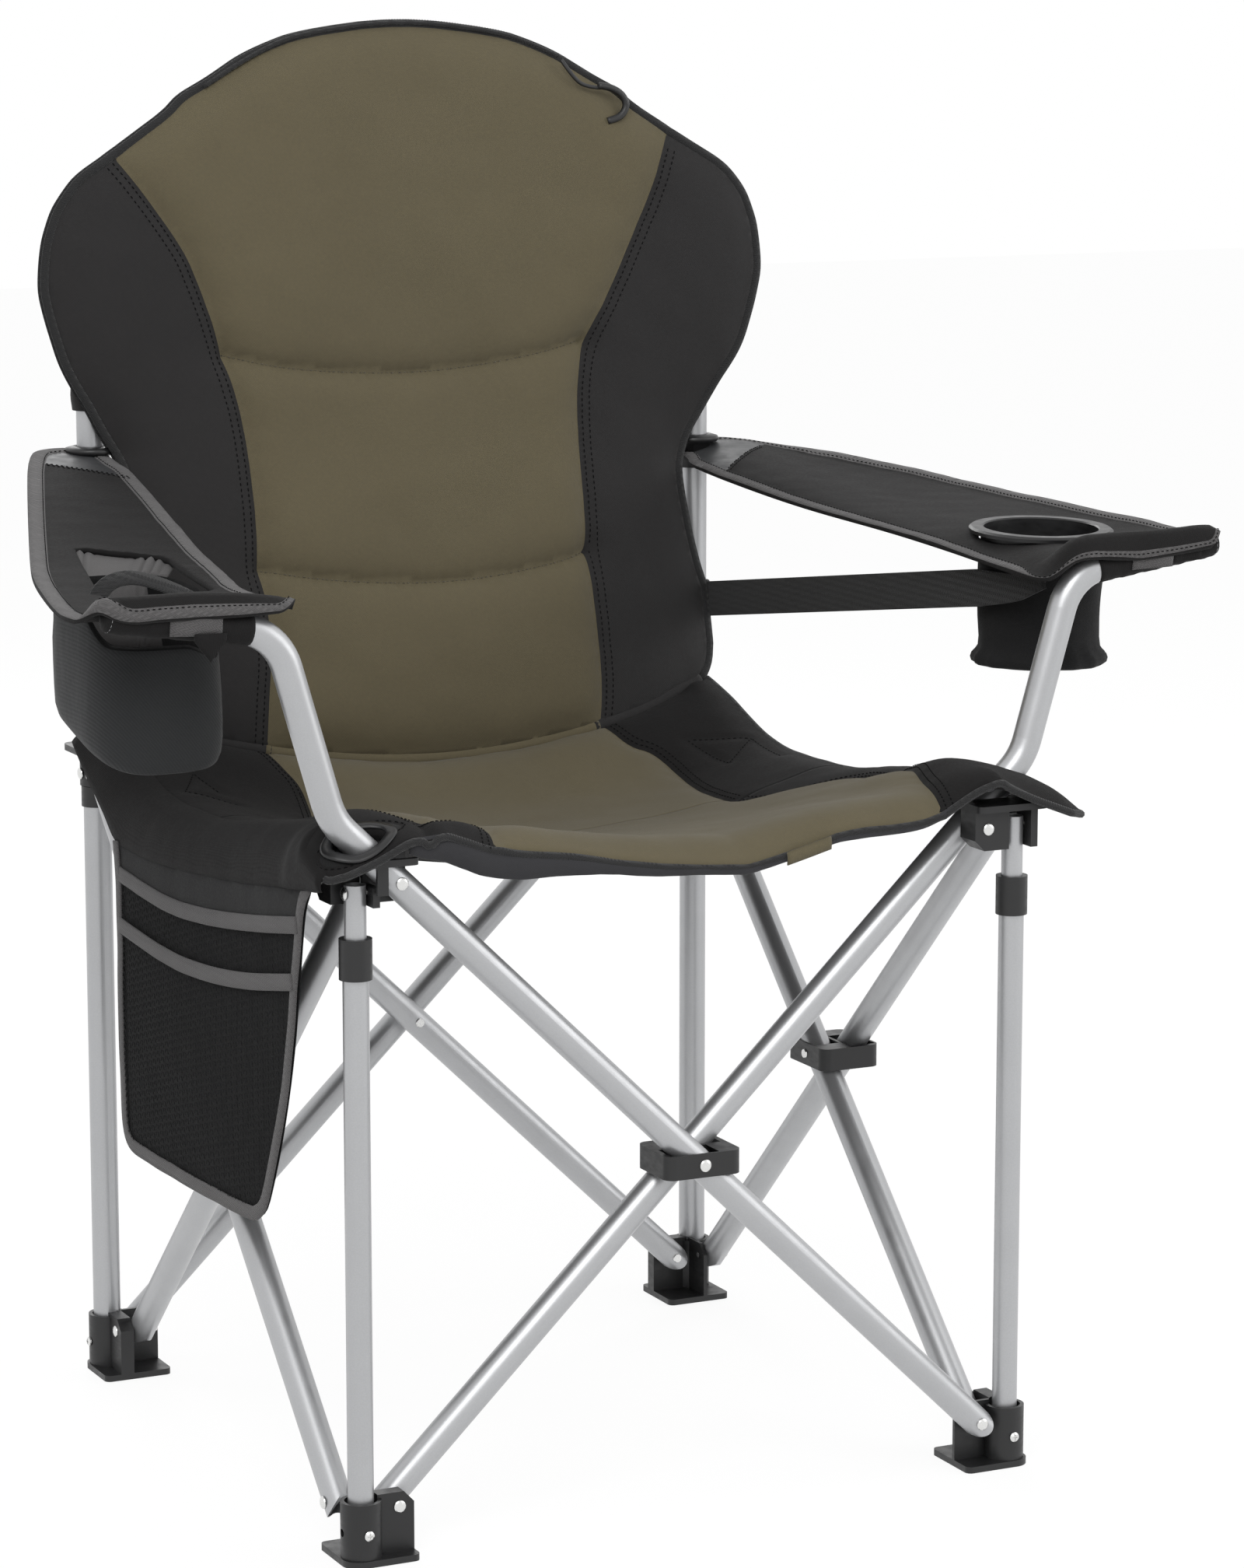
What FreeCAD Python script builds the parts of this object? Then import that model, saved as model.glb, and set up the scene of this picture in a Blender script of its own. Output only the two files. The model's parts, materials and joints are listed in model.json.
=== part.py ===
import FreeCAD, Part
import math
import os

V = FreeCAD.Vector
os.makedirs("parts", exist_ok=True)

# ---- driving dimensions, millimetres, +Z up, origin on the floor between the four posts ----
SPAN = 535.0            # post axis to post axis, both ways
S = SPAN / 2
E = 29.0                # pivot pin from the post axis, measured along a side
P = S - E
Z_LOW, Z_HIGH = 38.5, 499.0
TUBE, WALL = 22.0, 1.2
R = TUBE / 2
OUT, INN = -6.0, 19.5   # planes of the outer and inner crossing tubes, from the post axis, inboard positive
PIN_R, RUN = 2.5, 0.05  # rivet shank radius and its running clearance in a moving tube
GAP = 0.3               # side clearance between a tube and the moulding beside it
FRONT_POST_R = R - 1.5
SLIP = 0.3              # play between a sliding tube and the tube round it
INNER_POST_R, ROD_R = FRONT_POST_R - WALL - SLIP, R - WALL - SLIP
FRONT_POST_TOP, REAR_POST_TOP = 452.5, 482.4
PLATE_Z0, PLATE_Z1 = Z_HIGH + 13.5, Z_HIGH + 18.5
POST_TOP = 948.0        # top of the back posts
TAN = 2 * P / (Z_HIGH - Z_LOW)
MID_Z = (Z_LOW + Z_HIGH) / 2
ARM = [(P + 48.5, Z_HIGH + 48.5 / TAN), (P + 88.5, 682.5), (P + 211.5, 700.0)]  # arm bends and tip
ARM_BEND = [50.0, 42.0]
CORNERS = ["fl", "fr", "rr", "rl"]
SIDES = ["front", "right", "rear", "left"]


def box(x0, x1, y0, y1, z0, z1):
    return Part.makeBox(x1 - x0, y1 - y0, z1 - z0, V(x0, y0, z0))


def rod(p, d, r, h):
    return Part.makeCylinder(r, h, V(*p), V(*d))


def pipe(p, d, ro, ri, h):
    return rod(p, d, ro, h).cut(rod(p, d, ri, h))


def join(*shapes):
    out = shapes[0]
    for s in shapes[1:]:
        out = out.fuse(s)
    return out.removeSplitter()


def prism(points, axis, a, b):
    """Solid over a polygon; axis 0/1/2 is the extrusion axis, points are the other two coordinates."""
    def place(p, t):
        return V(*{0: (t, p[0], p[1]), 1: (p[0], t, p[1]), 2: (p[0], p[1], t)}[axis])
    wire = Part.makePolygon([place(p, a) for p in list(points) + [points[0]]])
    return Part.Face(wire).extrude(place((0, 0), b - a) if axis != 1 else V(0, b - a, 0))


def round_upright(shape, corners, r):
    """Fillet the upright edges that stand at the given plan corners."""
    edges = []
    for e in shape.Edges:
        a, b = e.Vertexes[0].Point, e.Vertexes[-1].Point
        if abs(a.x - b.x) + abs(a.y - b.y) < 1e-6 and abs(a.z - b.z) > 1e-6:
            if any(abs(a.x - x) + abs(a.y - y) < 1e-3 for x, y in corners):
                edges.append(e)
    return shape.makeFillet(r, edges) if edges else shape


def quarter(shape, k):
    out = shape.copy()
    out.rotate(V(0, 0, 0), V(0, 0, 1), 90.0 * k)
    return out


def at_corner(shape, k):
    out = shape.copy()
    out.translate(V(-S, -S, 0))
    return quarter(out, k)


def save(name, shape):
    if isinstance(shape, (list, tuple)):
        shape = Part.makeCompound(list(shape))
    shape.exportStep("parts/%s.step" % name)


def turned(profile, p, d):
    """Revolve an (r, t) profile about the line from p along d."""
    pts = [V(r, 0, t) for r, t in profile]
    face = Part.Face(Part.makePolygon(pts + [pts[0]]))
    solid = face.revolve(V(0, 0, 0), V(0, 0, 1), 360)
    solid.Placement = FreeCAD.Placement(V(*p), FreeCAD.Rotation(V(0, 0, 1), V(*d)))
    return solid


def rivet(p, d, reach, tail=True, head_r=4.75):
    """Domed rivet: underside of the head at p, shank along d for reach, then a peened end."""
    dome = [(head_r * math.cos(a), -0.5 - 1.8 * math.sin(a)) for a in [math.pi / 2 * i / 5 for i in range(5)]]
    profile = [(0, -2.3)] + dome[::-1] + [(head_r, 0), (PIN_R, 0), (PIN_R, reach)]
    if tail:
        profile += [(3.8, reach), (3.4, reach + 1.1)]
        profile += [(0, reach + 1.1)]
    else:
        profile += [(0, reach)]
    return turned(profile, p, d)


def screw(p, d, reach):
    head = [(0, -2.3), (2.4, -2.3), (3.75, -1.2), (3.75, 0), (2.0, 0), (2.0, reach), (0, reach)]
    body = turned(head, p, d)
    a = V(*d)
    side = V(0, 0, 1).cross(a)
    cross = []
    for w, h in ((0.8, 4.2), (4.2, 0.8)):
        b = Part.makeBox(w, h, 1.3, V(-w / 2, -h / 2, -2.4))
        b.Placement = FreeCAD.Placement(V(*p), FreeCAD.Rotation(side, V(0, 0, 1), a, "ZXY"))
        cross.append(b)
    return body.cut(cross[0].fuse(cross[1]))


# ---- feet: base plate, post socket, a flange outboard of the inner tube, a wall inboard of the outer tube ----
def foot(k):
    rear = k > 1
    post_r = R if rear else FRONT_POST_R
    hi = E + 11.5
    plate = round_upright(box(-16, hi, -16, hi, 0, 5), [(-16, -16)], 13)
    plate = round_upright(plate, [(hi, -16), (-16, hi), (hi, hi)], 5)
    socket = rod((0, 0, 0), (0, 0, 1), R + 4, 46.6)
    hood = [(9, 0), (hi, 0), (hi, 41), (hi - 8, 49.5), (9, 49.5)]
    flange = prism(hood, 1, -3.0, INN - R - GAP)
    wall = prism(hood, 0, OUT + R + GAP, OUT + R + GAP + 3.2)
    body = join(plate, socket, flange, wall)
    body = body.cut(rod((0, 0, 5), (0, 0, 1), post_r + RUN, 50))
    body = body.cut(rod((0, 0, 40.6), (0, 0, 1), R + 1, 20))
    body = body.cut(rod((E, -8, Z_LOW), (0, 1, 0), PIN_R + RUN, 30))
    body = body.cut(rod((-8, E, Z_LOW), (1, 0, 0), PIN_R + RUN, 30))
    near, far = ((-20, 0, 24), (1, 0, 0)), ((0, -20, 24), (0, 1, 0))
    if k != 1:
        near, far = far, near
    body = body.cut(rod(near[0], near[1], 2.0 + RUN, 12))
    body = body.cut(rod(far[0], far[1], 3.0, 12))
    return body, near, post_r


for k, c in enumerate(CORNERS):
    body, seat, post_r = foot(k)
    save(c + "_foot", at_corner(body, k))
    axis = V(*seat[1])
    tip = post_r - WALL - 1.6
    p = tuple(-axis * 15.1 + V(0, 0, 24))
    fixings = [rivet((E, -3.1, Z_LOW), (0, 1, 0), INN + R + 0.1 + 3.1),
               rivet((OUT - R - 0.1, E, Z_LOW), (1, 0, 0), GAP + 3.2 + TUBE + 0.1, tail=False),
               screw(p, seat[1], 15.1 - tip)]
    save(c + "_foot_fixings", [at_corner(f, k) for f in fixings])
    top = REAR_POST_TOP if k > 1 else FRONT_POST_TOP
    post = pipe((0, 0, 5.05), (0, 0, 1), post_r, post_r - WALL, top - 5.05)
    post = post.cut(rod(seat[0], seat[1], 2.0 + RUN, 20 - post_r + 2))
    save(c + "_lower_post", at_corner(post, k))
    if k > 1:
        sleeve = pipe((0, 0, 468), (0, 0, 1), R + 1.6, R + RUN, 16.4)
        sleeve = sleeve.fuse(pipe((0, 0, REAR_POST_TOP + 0.05), (0, 0, 1), R + 1.6, ROD_R + 0.1, 1.95))
    else:
        sleeve = pipe((0, 0, 430), (0, 0, 1), FRONT_POST_R + 2.5, FRONT_POST_R + RUN, 24)
        sleeve = sleeve.fuse(pipe((0, 0, FRONT_POST_TOP + 0.05), (0, 0, 1), FRONT_POST_R + 2.5, INNER_POST_R + 0.1, 6.95))
    save(c + "_sleeve", at_corner(sleeve.removeSplitter(), k))


# ---- top brackets ----
def bracket(k):
    hi = E + 12.0
    plate = round_upright(box(-22, hi, -22, hi, PLATE_Z0, PLATE_Z1), [(-22, -22)], 10)
    plate = plate.cut(prism([(hi + 1, hi - 14), (hi + 1, hi + 1), (hi - 14, hi + 1)], 2, 500, 520))
    plate = round_upright(plate, [(hi, -22), (-22, hi)], 5)
    z0 = Z_HIGH - 16.5
    flange = prism([(11, z0), (hi - 9, z0), (hi - 1, z0 + 8), (hi - 1, PLATE_Z0), (11, PLATE_Z0)], 0,
                   -14, INN - R - GAP)
    w0 = OUT + R + GAP
    if k == 1:
        side = [(8, z0), (hi, z0), (hi, PLATE_Z0), (INN + R + 0.6, PLATE_Z0), (INN + R + 0.6, 503), (8, 503)]
    else:
        side = [(8, z0), (hi - 8, z0), (hi, z0 + 8), (hi, PLATE_Z0), (8, PLATE_Z0)]
    wall = prism(side, 1, w0, w0 + 3.2)
    parts = [plate, flange, wall]
    if k < 2:
        parts.append(box(9, 17.5, OUT - R - GAP - 2.6, OUT - R - GAP, 492, PLATE_Z0))
        if k == 0:
            parts.append(box(8.2, 13.5, -13.5, 8, z0, 496.8))
        else:
            parts.append(box(-13.5, 8, -14, -8.2, z0, PLATE_Z0))
    else:
        parts.append(rod((0, 0, 485), (0, 0, 1), R + 2.5, PLATE_Z1 - 485))
    body = join(*parts)
    if k < 2:
        slot = 6.6 - (E - 29.0)
        if k == 0:
            body = body.cut(box(-slot, hi + 1, OUT - R - 0.5, w0, PLATE_Z0 - 0.01, 520))
        else:
            body = body.cut(box(INN - R - GAP, INN + R + 0.5, -slot, hi + 1, PLATE_Z0 - 0.01, 520))
        along = ((-20, 0, Z_HIGH - 7), (1, 0, 0)) if k == 0 else ((0, 20, Z_HIGH), (0, -1, 0))
        body = body.cut(rod(along[0], along[1], PIN_R + RUN, 40))
    else:
        body = body.cut(rod((0, 0, 480), (0, 0, 1), R + RUN, 40))
        body = body.cut(rod((0, 0, 480), (0, 0, 1), R + 2.1, 5))
        body = body.cut(rod((0, -20, 495), (0, 1, 0), PIN_R + RUN, 32.3))
    body = body.cut(rod((-20, E, Z_HIGH), (1, 0, 0), PIN_R + RUN, 30))
    body = body.cut(rod((E, 0, Z_HIGH), (0, 1, 0), PIN_R + RUN, 14))
    return body


for k, c in enumerate(CORNERS):
    save(c + "_top_bracket", at_corner(bracket(k), k))
    rivets = [rivet((E, OUT - R - 0.1, Z_HIGH), (0, 1, 0), GAP + 3.2 + TUBE + 0.1, tail=False),
              rivet((-14.1, E, Z_HIGH), (1, 0, 0), INN + R + 0.1 + 14.1)]
    if k == 0:
        rivets.append(rivet((-8.1, 0, Z_HIGH - 7), (1, 0, 0), 21.6, tail=False))
        inner = pipe((0, 0, 200), (0, 0, 1), INNER_POST_R, INNER_POST_R - WALL, 298)
        inner = inner.cut(rod((-20, 0, Z_HIGH - 7), (1, 0, 0), PIN_R + RUN, 40))
    elif k == 1:
        rivets.append(rivet((0, 8.1, Z_HIGH), (0, -1, 0), 22.1, tail=False))
        inner = pipe((0, 0, 200), (0, 0, 1), INNER_POST_R, INNER_POST_R - WALL, 305)
        inner = inner.cut(rod((0, -20, Z_HIGH), (0, 1, 0), PIN_R + RUN, 40))
    else:
        rivets.append(rivet((0, -13.6, 495), (0, 1, 0), 25.6, tail=False))
        inner = pipe((0, 0, 224), (0, 0, 1), ROD_R, ROD_R - WALL, 336)
        inner = inner.cut(rod((0, -20, 495), (0, 1, 0), PIN_R + RUN, 40))
        post = pipe((0, 0, 487), (0, 0, 1), R, R - WALL, POST_TOP - 487)
        post = post.cut(rod((0, -20, 495), (0, 1, 0), PIN_R + RUN, 40))
        save(c + "_back_post", at_corner(post, k))
    save(c + ("_inner_rod" if k > 1 else "_inner_post"), at_corner(inner, k))
    save(c + "_top_rivets", [at_corner(r, k) for r in rivets])


# ---- crossing tubes, drawn on the front side (x along, y = depth) and turned to the others ----
Y_OUT, Y_INN = -S + OUT, -S + INN


def end_waste(p, d, r, y):
    """What is cut away past a pin so that the tube ends in a round of radius r about it."""
    n = V(-d.z, 0, d.x)
    w = R + 2
    a, b = p + n * w, p - n * w
    pts = [a, b, b + d * (R + 6), a + d * (R + 6), a]
    face = Part.Face(Part.makePolygon([V(q.x, y - w, q.z) for q in pts]))
    return face.extrude(V(0, 2 * w, 0)).cut(rod((p.x, y - w - 1, p.z), (0, 1, 0), r, 2 * w + 2))


def side_tube(sx, y, arm=False, end_r=R):
    a, b = V(sx * P, y, Z_LOW), V(-sx * P, y, Z_HIGH)
    u = (b - a).normalize()
    start = a - u * (R + 1)
    if arm:
        tube = swept([start] + [V(-sx * x, y, z) for x, z in ARM], ARM_BEND, R).cut(
            swept([start] + [V(-sx * x, y, z) for x, z in ARM], ARM_BEND, R - WALL))
    else:
        length = (b - a).Length + 2 * R + 2
        tube = Part.makeCylinder(R, length, start, u).cut(Part.makeCylinder(R - WALL, length, start, u))
        tube = tube.cut(end_waste(b, u, end_r, y))
    tube = tube.cut(end_waste(a, -u, R, y))
    for q in (a, (a + b) * 0.5, b):
        tube = tube.cut(rod((q.x, y - 20, q.z), (0, 1, 0), PIN_R + RUN, 40))
    return tube


def swept(points, bends, r):
    """Solid round bar along a polyline whose inner corners are rounded."""
    edges, last = [], points[0]
    for i, rad in enumerate(bends):
        p = points[i + 1]
        d0, d1 = (points[i] - p).normalize(), (points[i + 2] - p).normalize()
        half = math.acos(max(-1, min(1, d0.dot(d1)))) / 2
        cut = rad / math.tan(half)
        s, e = p + d0 * cut, p + d1 * cut
        centre = p + (d0 + d1).normalize() * (rad / math.sin(half))
        middle = centre + (p - centre).normalize() * rad
        edges.append(Part.makeLine(last, s))
        edges.append(Part.Arc(s, middle, e).toShape())
        last = e
    edges.append(Part.makeLine(last, points[-1]))
    path = Part.Wire(edges)
    d = (points[1] - points[0]).normalize()
    ring = Part.Wire(Part.makeCircle(r, points[0], d))
    return path.makePipeShell([ring], True, False)


def hub():
    """Moulded block at a crossing: a window for each tube, a wall in front and behind, a web between."""
    y0, y1 = Y_OUT - R - GAP - 2, Y_INN + R + GAP + 2
    z0, z1 = MID_Z - 9, MID_Z + 9
    block = round_upright(box(-R - 20, R + 20, y0, y1, z0, z1), [(-R - 20, y0), (R + 20, y0), (-R - 20, y1), (R + 20, y1)], 8)
    top, foot_ = (-26.5, 12.5), (-12.5, 26.5)
    window = [(top[0], z1 + 0.01), (top[1], z1 + 0.01), (foot_[1], z0 - 0.01), (foot_[0], z0 - 0.01)]
    block = block.cut(prism(window, 1, Y_OUT - R - GAP, Y_OUT + R + GAP))
    window = [(-x, z) for x, z in window]
    block = block.cut(prism(window, 1, Y_INN - R - GAP, Y_INN + R + GAP))
    return block.cut(rod((0, y0 - 1, MID_Z), (0, 1, 0), PIN_R + RUN, y1 - y0 + 2))


for k, side in enumerate(SIDES):
    save("tube_%s_outer" % side, quarter(side_tube(1, Y_OUT, k == 0, 9.0 if k == 1 else R), k))
    save("tube_%s_inner" % side, quarter(side_tube(-1, Y_INN, k == 0), k))
    if side == "rear":
        y0, y1 = Y_OUT - R - 0.1, Y_INN + R + 0.1
        washer = pipe((0, Y_OUT + R + GAP, MID_Z), (0, 1, 0), 9, PIN_R + RUN, Y_INN - Y_OUT - 2 * R - 2 * GAP)
        save("centre_rivet_rear", [quarter(rivet((0, y0, MID_Z), (0, 1, 0), y1 - y0), k), quarter(washer, k)])
    else:
        y0, y1 = Y_OUT - R - GAP - 2.1, Y_INN + R + GAP + 2.1
        save("hub_" + side, quarter(hub(), k))
        save("centre_rivet_" + side, quarter(rivet((0, y0, MID_Z), (0, 1, 0), y1 - y0), k))


# ---- sewn goods ----
# their patterns are written for a 535 mm frame: K stretches one to another frame, D moves it out with the posts
K, D = S / 267.5, S - 267.5


def stretch(values):
    return [K * v for v in values]


def both(sx, points):
    return [(sx * (x + D), K * y) for x, y in points]


def skin(rows, across, along, axis, thick):
    """Spline surface through a table of heights, thickened along one axis (1 = y, 2 = z)."""
    grid = []
    for a, row in zip(along, rows):
        grid.append([V(x, h, a) if axis == 1 else V(x, a, h) for x, h in zip(across, row)])
    surf = Part.BSplineSurface()
    surf.interpolate(grid)
    push = V(0, thick, 0) if axis == 1 else V(0, 0, -thick)
    return surf.toShape().extrude(push)


def mirrored(points):
    return list(points) + [(-x, z) for x, z in reversed(points) if abs(x) > 1e-6]


ARM_R = [V(x, Y_INN, z) for x, z in ARM]     # right arm, on the inner front tube
ARM_L = [V(-x, Y_OUT, z) for x, z in ARM]    # left arm, on the outer front tube
START_R, START_L = V(P, Y_INN, Z_HIGH), V(-P, Y_OUT, Z_HIGH)


def arm_bar(left, r):
    return swept([START_L] + ARM_L if left else [START_R] + ARM_R, ARM_BEND, r)


# seat: side edge heights along y, hollow towards the middle, raised hoods over the front brackets
SEAT_Y = [-300, -267, -240, -200, -140, -86, -22, 30, 111, 160, 195, 244]
SEAT_EDGE = [529, 538, 537, 532, 522, 514, 504, 501, 503, 515, 528, 541]
SEAT_SAG = [37, 40, 42, 44, 46, 47, 48, 48, 42, 31, 23, 20]
SEAT_X = [0, 65, 130, 190, 232, 262, 294, 322]
HOOD = {-300: (541, 534, 527, 509), -267: (545, 540, 529, 508), -240: (541, 537, 528, 510)}
SEAT_T = 5.0


def seat_rows():
    rows = []
    for y, edge, sag in zip(SEAT_Y, SEAT_EDGE, SEAT_SAG):
        row = [edge - sag * (1 - (x / 268.0) ** 2) for x in SEAT_X]
        if y in HOOD:
            row[4:] = HOOD[y]
        elif y == -200:
            row[4:] = (531, 533, 528, 516)
        else:
            row[6], row[7] = edge + 2, edge + 3
        rows.append(row[:0:-1] + row)
    return rows


across = stretch([-x for x in SEAT_X[:0:-1]] + SEAT_X)
seat = skin(seat_rows(), across, stretch(SEAT_Y), 2, SEAT_T)
front_plan = [(0, -292), (200, -293), (240, -298), (301, -299), (318, -285), (321, -262), (300, -232),
              (268, -212), (268, -0.2), (0, -0.2)]
rear_plan = [(0, 0.2), (268, 0.2), (268, 243.5), (229, 243.5), (226, 222), (200, 210.5), (130, 194.3), (65, 186.8),
             (0, 183.9)]
seat_front = seat.common(prism([(K * x, K * y) for x, y in mirrored(front_plan)], 2, 400, 600))
seat_rear = seat.common(prism([(K * x, K * y) for x, y in mirrored(rear_plan)], 2, 400, 600))
under = skin(seat_rows(), across, stretch(SEAT_Y), 2, 40.0)
for sx in (-1, 1):      # pads that rest on the bracket plates
    xs = sorted((sx * 229.0, sx * 252.0))
    for y0, y1 in ((-262, -232), (229, 243)):
        pad = box(K * xs[0], K * xs[1], K * y0, K * y1, PLATE_Z1 + GAP, 560).common(under)
        if y0 < 0:
            seat_front = seat_front.fuse(pad)
        else:
            seat_rear = seat_rear.fuse(pad)
for left in (True, False):
    p, q = (START_L, ARM_L[0]) if left else (START_R, ARM_R[0])
    d = (q - p).normalize()
    seat_front = seat_front.cut(Part.makeCylinder(R + 1.5, 90, p, d))
save("seat_front", seat_front)
save("seat_rear", seat_rear)

# back panel with two post pockets
BACK = [(0, 1087), (85, 1077), (115, 1067), (136, 1058), (151, 1049), (168, 1039), (190, 1028), (199, 1018),
        (226, 1000), (251, 983), (275, 968), (285, 955), (293, 943), (298, 930), (302, 918), (305, 893),
        (305, 880), (302, 867), (299, 855), (295, 842), (291, 829), (286, 817), (279, 803), (273, 793),
        (261, 767), (249.5, 749), (243, 732), (240, 717), (243, 697), (250, 664), (260, 631), (267, 612),
        (267, 544.5), (229, 536), (200, 525.0), (130, 511.8), (65, 503.8), (0, 500.7)]
BACK_Z = [470, 541, 600, 650, 700, 780, 900, 1000, 1095]
BACK_MID = [176, 191, 205, 219, 231, 246, 252, 260, 266]
BACK_SIDE = [205, 231, 244, 246, 245.8, 246.3, 247, 250, 255]
BACK_X = [0, 100, 200, 267, 310]
BACK_T = 5.5
rows = []
for m, s in zip(BACK_MID, BACK_SIDE):
    row = [D + m + (s - m) * min(1.0, x / 267.0) ** 2 for x in BACK_X]
    rows.append(row[:0:-1] + row)
back = skin(rows, stretch([-x for x in BACK_X[:0:-1]] + BACK_X), BACK_Z, 1, BACK_T)
back = back.common(prism([(K * x, z) for x, z in mirrored(BACK)], 1, D + 150, D + 320))
for sx in (-1, 1):
    pocket = pipe((sx * S, S, 782), (0, 0, 1), R + 4.5, R + 0.8, POST_TOP + 1 - 782)
    cap = rod((sx * S, S, POST_TOP + 1), (0, 0, 1), R + 4.5, 3)
    back = back.fuse(pocket.fuse(cap))
save("back", back.removeSplitter())

# arm rests
REST_Y = [-290, -205, -125, -50, 50, 150, 235, 285]
REST_Z = [694.0, 697.0, 700.5, 704.5, 711, 722, 734, 741]
REST_T = 4.5
REST_X = [240, 290, 340, 400, 480]
REST_PLAN = [(252, 280), (252, 244), (246, 234), (259, 99), (270, -13), (281, -119), (288, -200), (294, -258),
             (310, -264), (455, -264), (466, -240), (467, -205), (458, -140), (444, -82), (423, 40), (395, 150),
             (333, 254), (304, 281)]
REST_PLAN_L = [(258, 280), (258, 240), (254, 200), (267, 101), (279, 24), (302, -119), (318, -185), (301, -215),
               (303, -246), (330, -264), (405, -273), (440, -270), (462, -256), (470, -233), (461, -179),
               (442, -96), (418, -20), (359, 156), (322, 262), (304, 281)]
CUP = (361.0 + D, K * -146.0)


def arm_rest(left):
    lift, droop, dip = (12.0, 0.0, 0.0) if left else (-2.0, 12.0, 2.4)
    rows = []
    for y, z in zip(REST_Y, REST_Z):
        rise = lift * max(0.0, (y + 50) / 285.0)
        inner = 244 + 0.1 * (246 - y)
        near = droop * math.exp(-(290 - inner) / 18.0)
        rows.append([z + rise - droop, z + rise - near, z + rise - dip, z + rise - dip / 3, z + rise + 2.0])
    sx = -1 if left else 1
    plan = REST_PLAN_L if left else REST_PLAN
    plate = skin([r[::sx] for r in rows], [sx * (x + D) for x in REST_X][::sx], stretch(REST_Y), 2, REST_T)
    plate = plate.common(prism(both(sx, plan), 2, 640, 800))
    z0 = REST_Z[6] + lift - 16
    collar = pipe((sx * S, S, z0), (0, 0, 1), R + 4.5, R + 0.8, 26)
    disc = pipe((sx * S, S, z0 + 22), (0, 0, 1), R + 9, R + 0.8, 4)
    tip = (ARM_L if left else ARM_R)
    d = (tip[2] - tip[1]).normalize()
    a = tip[1] + d * 16
    hem = Part.makeCylinder(R + 3, (tip[2] - a).Length + 6, a, d)
    rest = plate.fuse([collar, disc, hem])
    rest = rest.cut(arm_bar(left, R + 0.6))
    cap = tip[2] + d * 0.3
    rest = rest.cut(Part.makeCylinder(R + 0.6, 3, tip[2] - d * 0.01, d))
    rest = rest.cut(rod((sx * S, S, 600), (0, 0, 1), R + 0.8, 300))
    return rest, cap


left_rest, _ = arm_rest(True)
right_rest, _ = arm_rest(False)
right_rest = right_rest.cut(rod((CUP[0], CUP[1], 640), (0, 0, 1), 48.0, 100))
left_rest = left_rest.cut(prism(both(-1, [(374, 8), (320, -42), (336, -185), (424, -192)]), 2, 600, 800))
save("armrest_left", left_rest)
save("armrest_right", right_rest)

# cup ring and pouch
TILT = 2.6
ring_z = 705.4
ring = turned([(46.6, -16), (46.6, 0), (56, 0), (56, 2.6), (54, 4.2), (45.5, 4.2), (44.5, 3.2), (44.5, -16)], (0, 0, 0), (0, 0, 1))
ring.rotate(V(0, 0, 0), V(1, 0, 0), TILT)
ring.translate(V(CUP[0], CUP[1], ring_z - 4.6))
save("cup_ring", ring)
pouch = turned([(48.2, 88.2), (50.4, 88.2), (49.0, 70), (46.5, 22), (47.0, 15), (49.5, 11), (51.5, 7), (50.5, 2), (47, 0),
                (0, 1), (0, 4), (43.5, 4), (44.5, 22), (46.5, 68)], (0, 0, 0), (0, 0, 1))
pouch.translate(V(CUP[0], CUP[1], 599))
save("cup_pouch", pouch)

# cooler bag under the left arm rest
BAG = (-430.0 - D, -326.0 - D, K * -206.0, K * -60.0)
bag_top = [(BAG[2], 570), (BAG[3], 570), (BAG[3], 697.75), (BAG[2], 690.75)]
shell = prism(bag_top, 0, BAG[0], BAG[1])
shell = round_upright(shell, [(BAG[0], BAG[2]), (BAG[1], BAG[2]), (BAG[0], BAG[3]), (BAG[1], BAG[3])], 30)
inner = round_upright(box(BAG[0] + 4, BAG[1] - 4, BAG[2] + 4, BAG[3] - 4, 575, 720),
                      [(x, y) for x in (BAG[0] + 4, BAG[1] - 4) for y in (BAG[2] + 4, BAG[3] - 4)], 26)
save("cooler_bag", shell.cut(inner))

# side pocket hung on the left edge of the seat, open along its top
POCKET_X = -S - 23.0
POCKET_T = 15.0
edge = [(K * y, z) for y, z in zip(SEAT_Y, SEAT_EDGE) if -240 < y < 150]
lip = prism([(y, z + 1.5) for y, z in edge] + [(y, z - 3) for y, z in reversed(edge)], 0, POCKET_X - 3, -268.6)
foot_line = [(K * y, z) for y, z in [(146, 470), (145, 232), (120, 226), (-128, 226), (-150, 236), (-200, 470)]]
panel = prism([(y, z - 1) for y, z in edge] + foot_line, 0, POCKET_X - POCKET_T, POCKET_X)
void = [(138, 560), (137, 238), (118, 233), (-126, 233), (-143, 241), (-190, 462), (-190, 560)]
void = [(K * y, z) for y, z in void]
panel = panel.cut(prism(void, 0, POCKET_X - POCKET_T + 3.5, POCKET_X - 3.5))
low = [(y, z - 14) for y, z in edge] + [(K * 148, 560), (K * -210, 560)]
panel = panel.cut(prism(low, 0, POCKET_X - POCKET_T - 1, POCKET_X - 3.6))
save("side_pocket", join(panel, lip))

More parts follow.
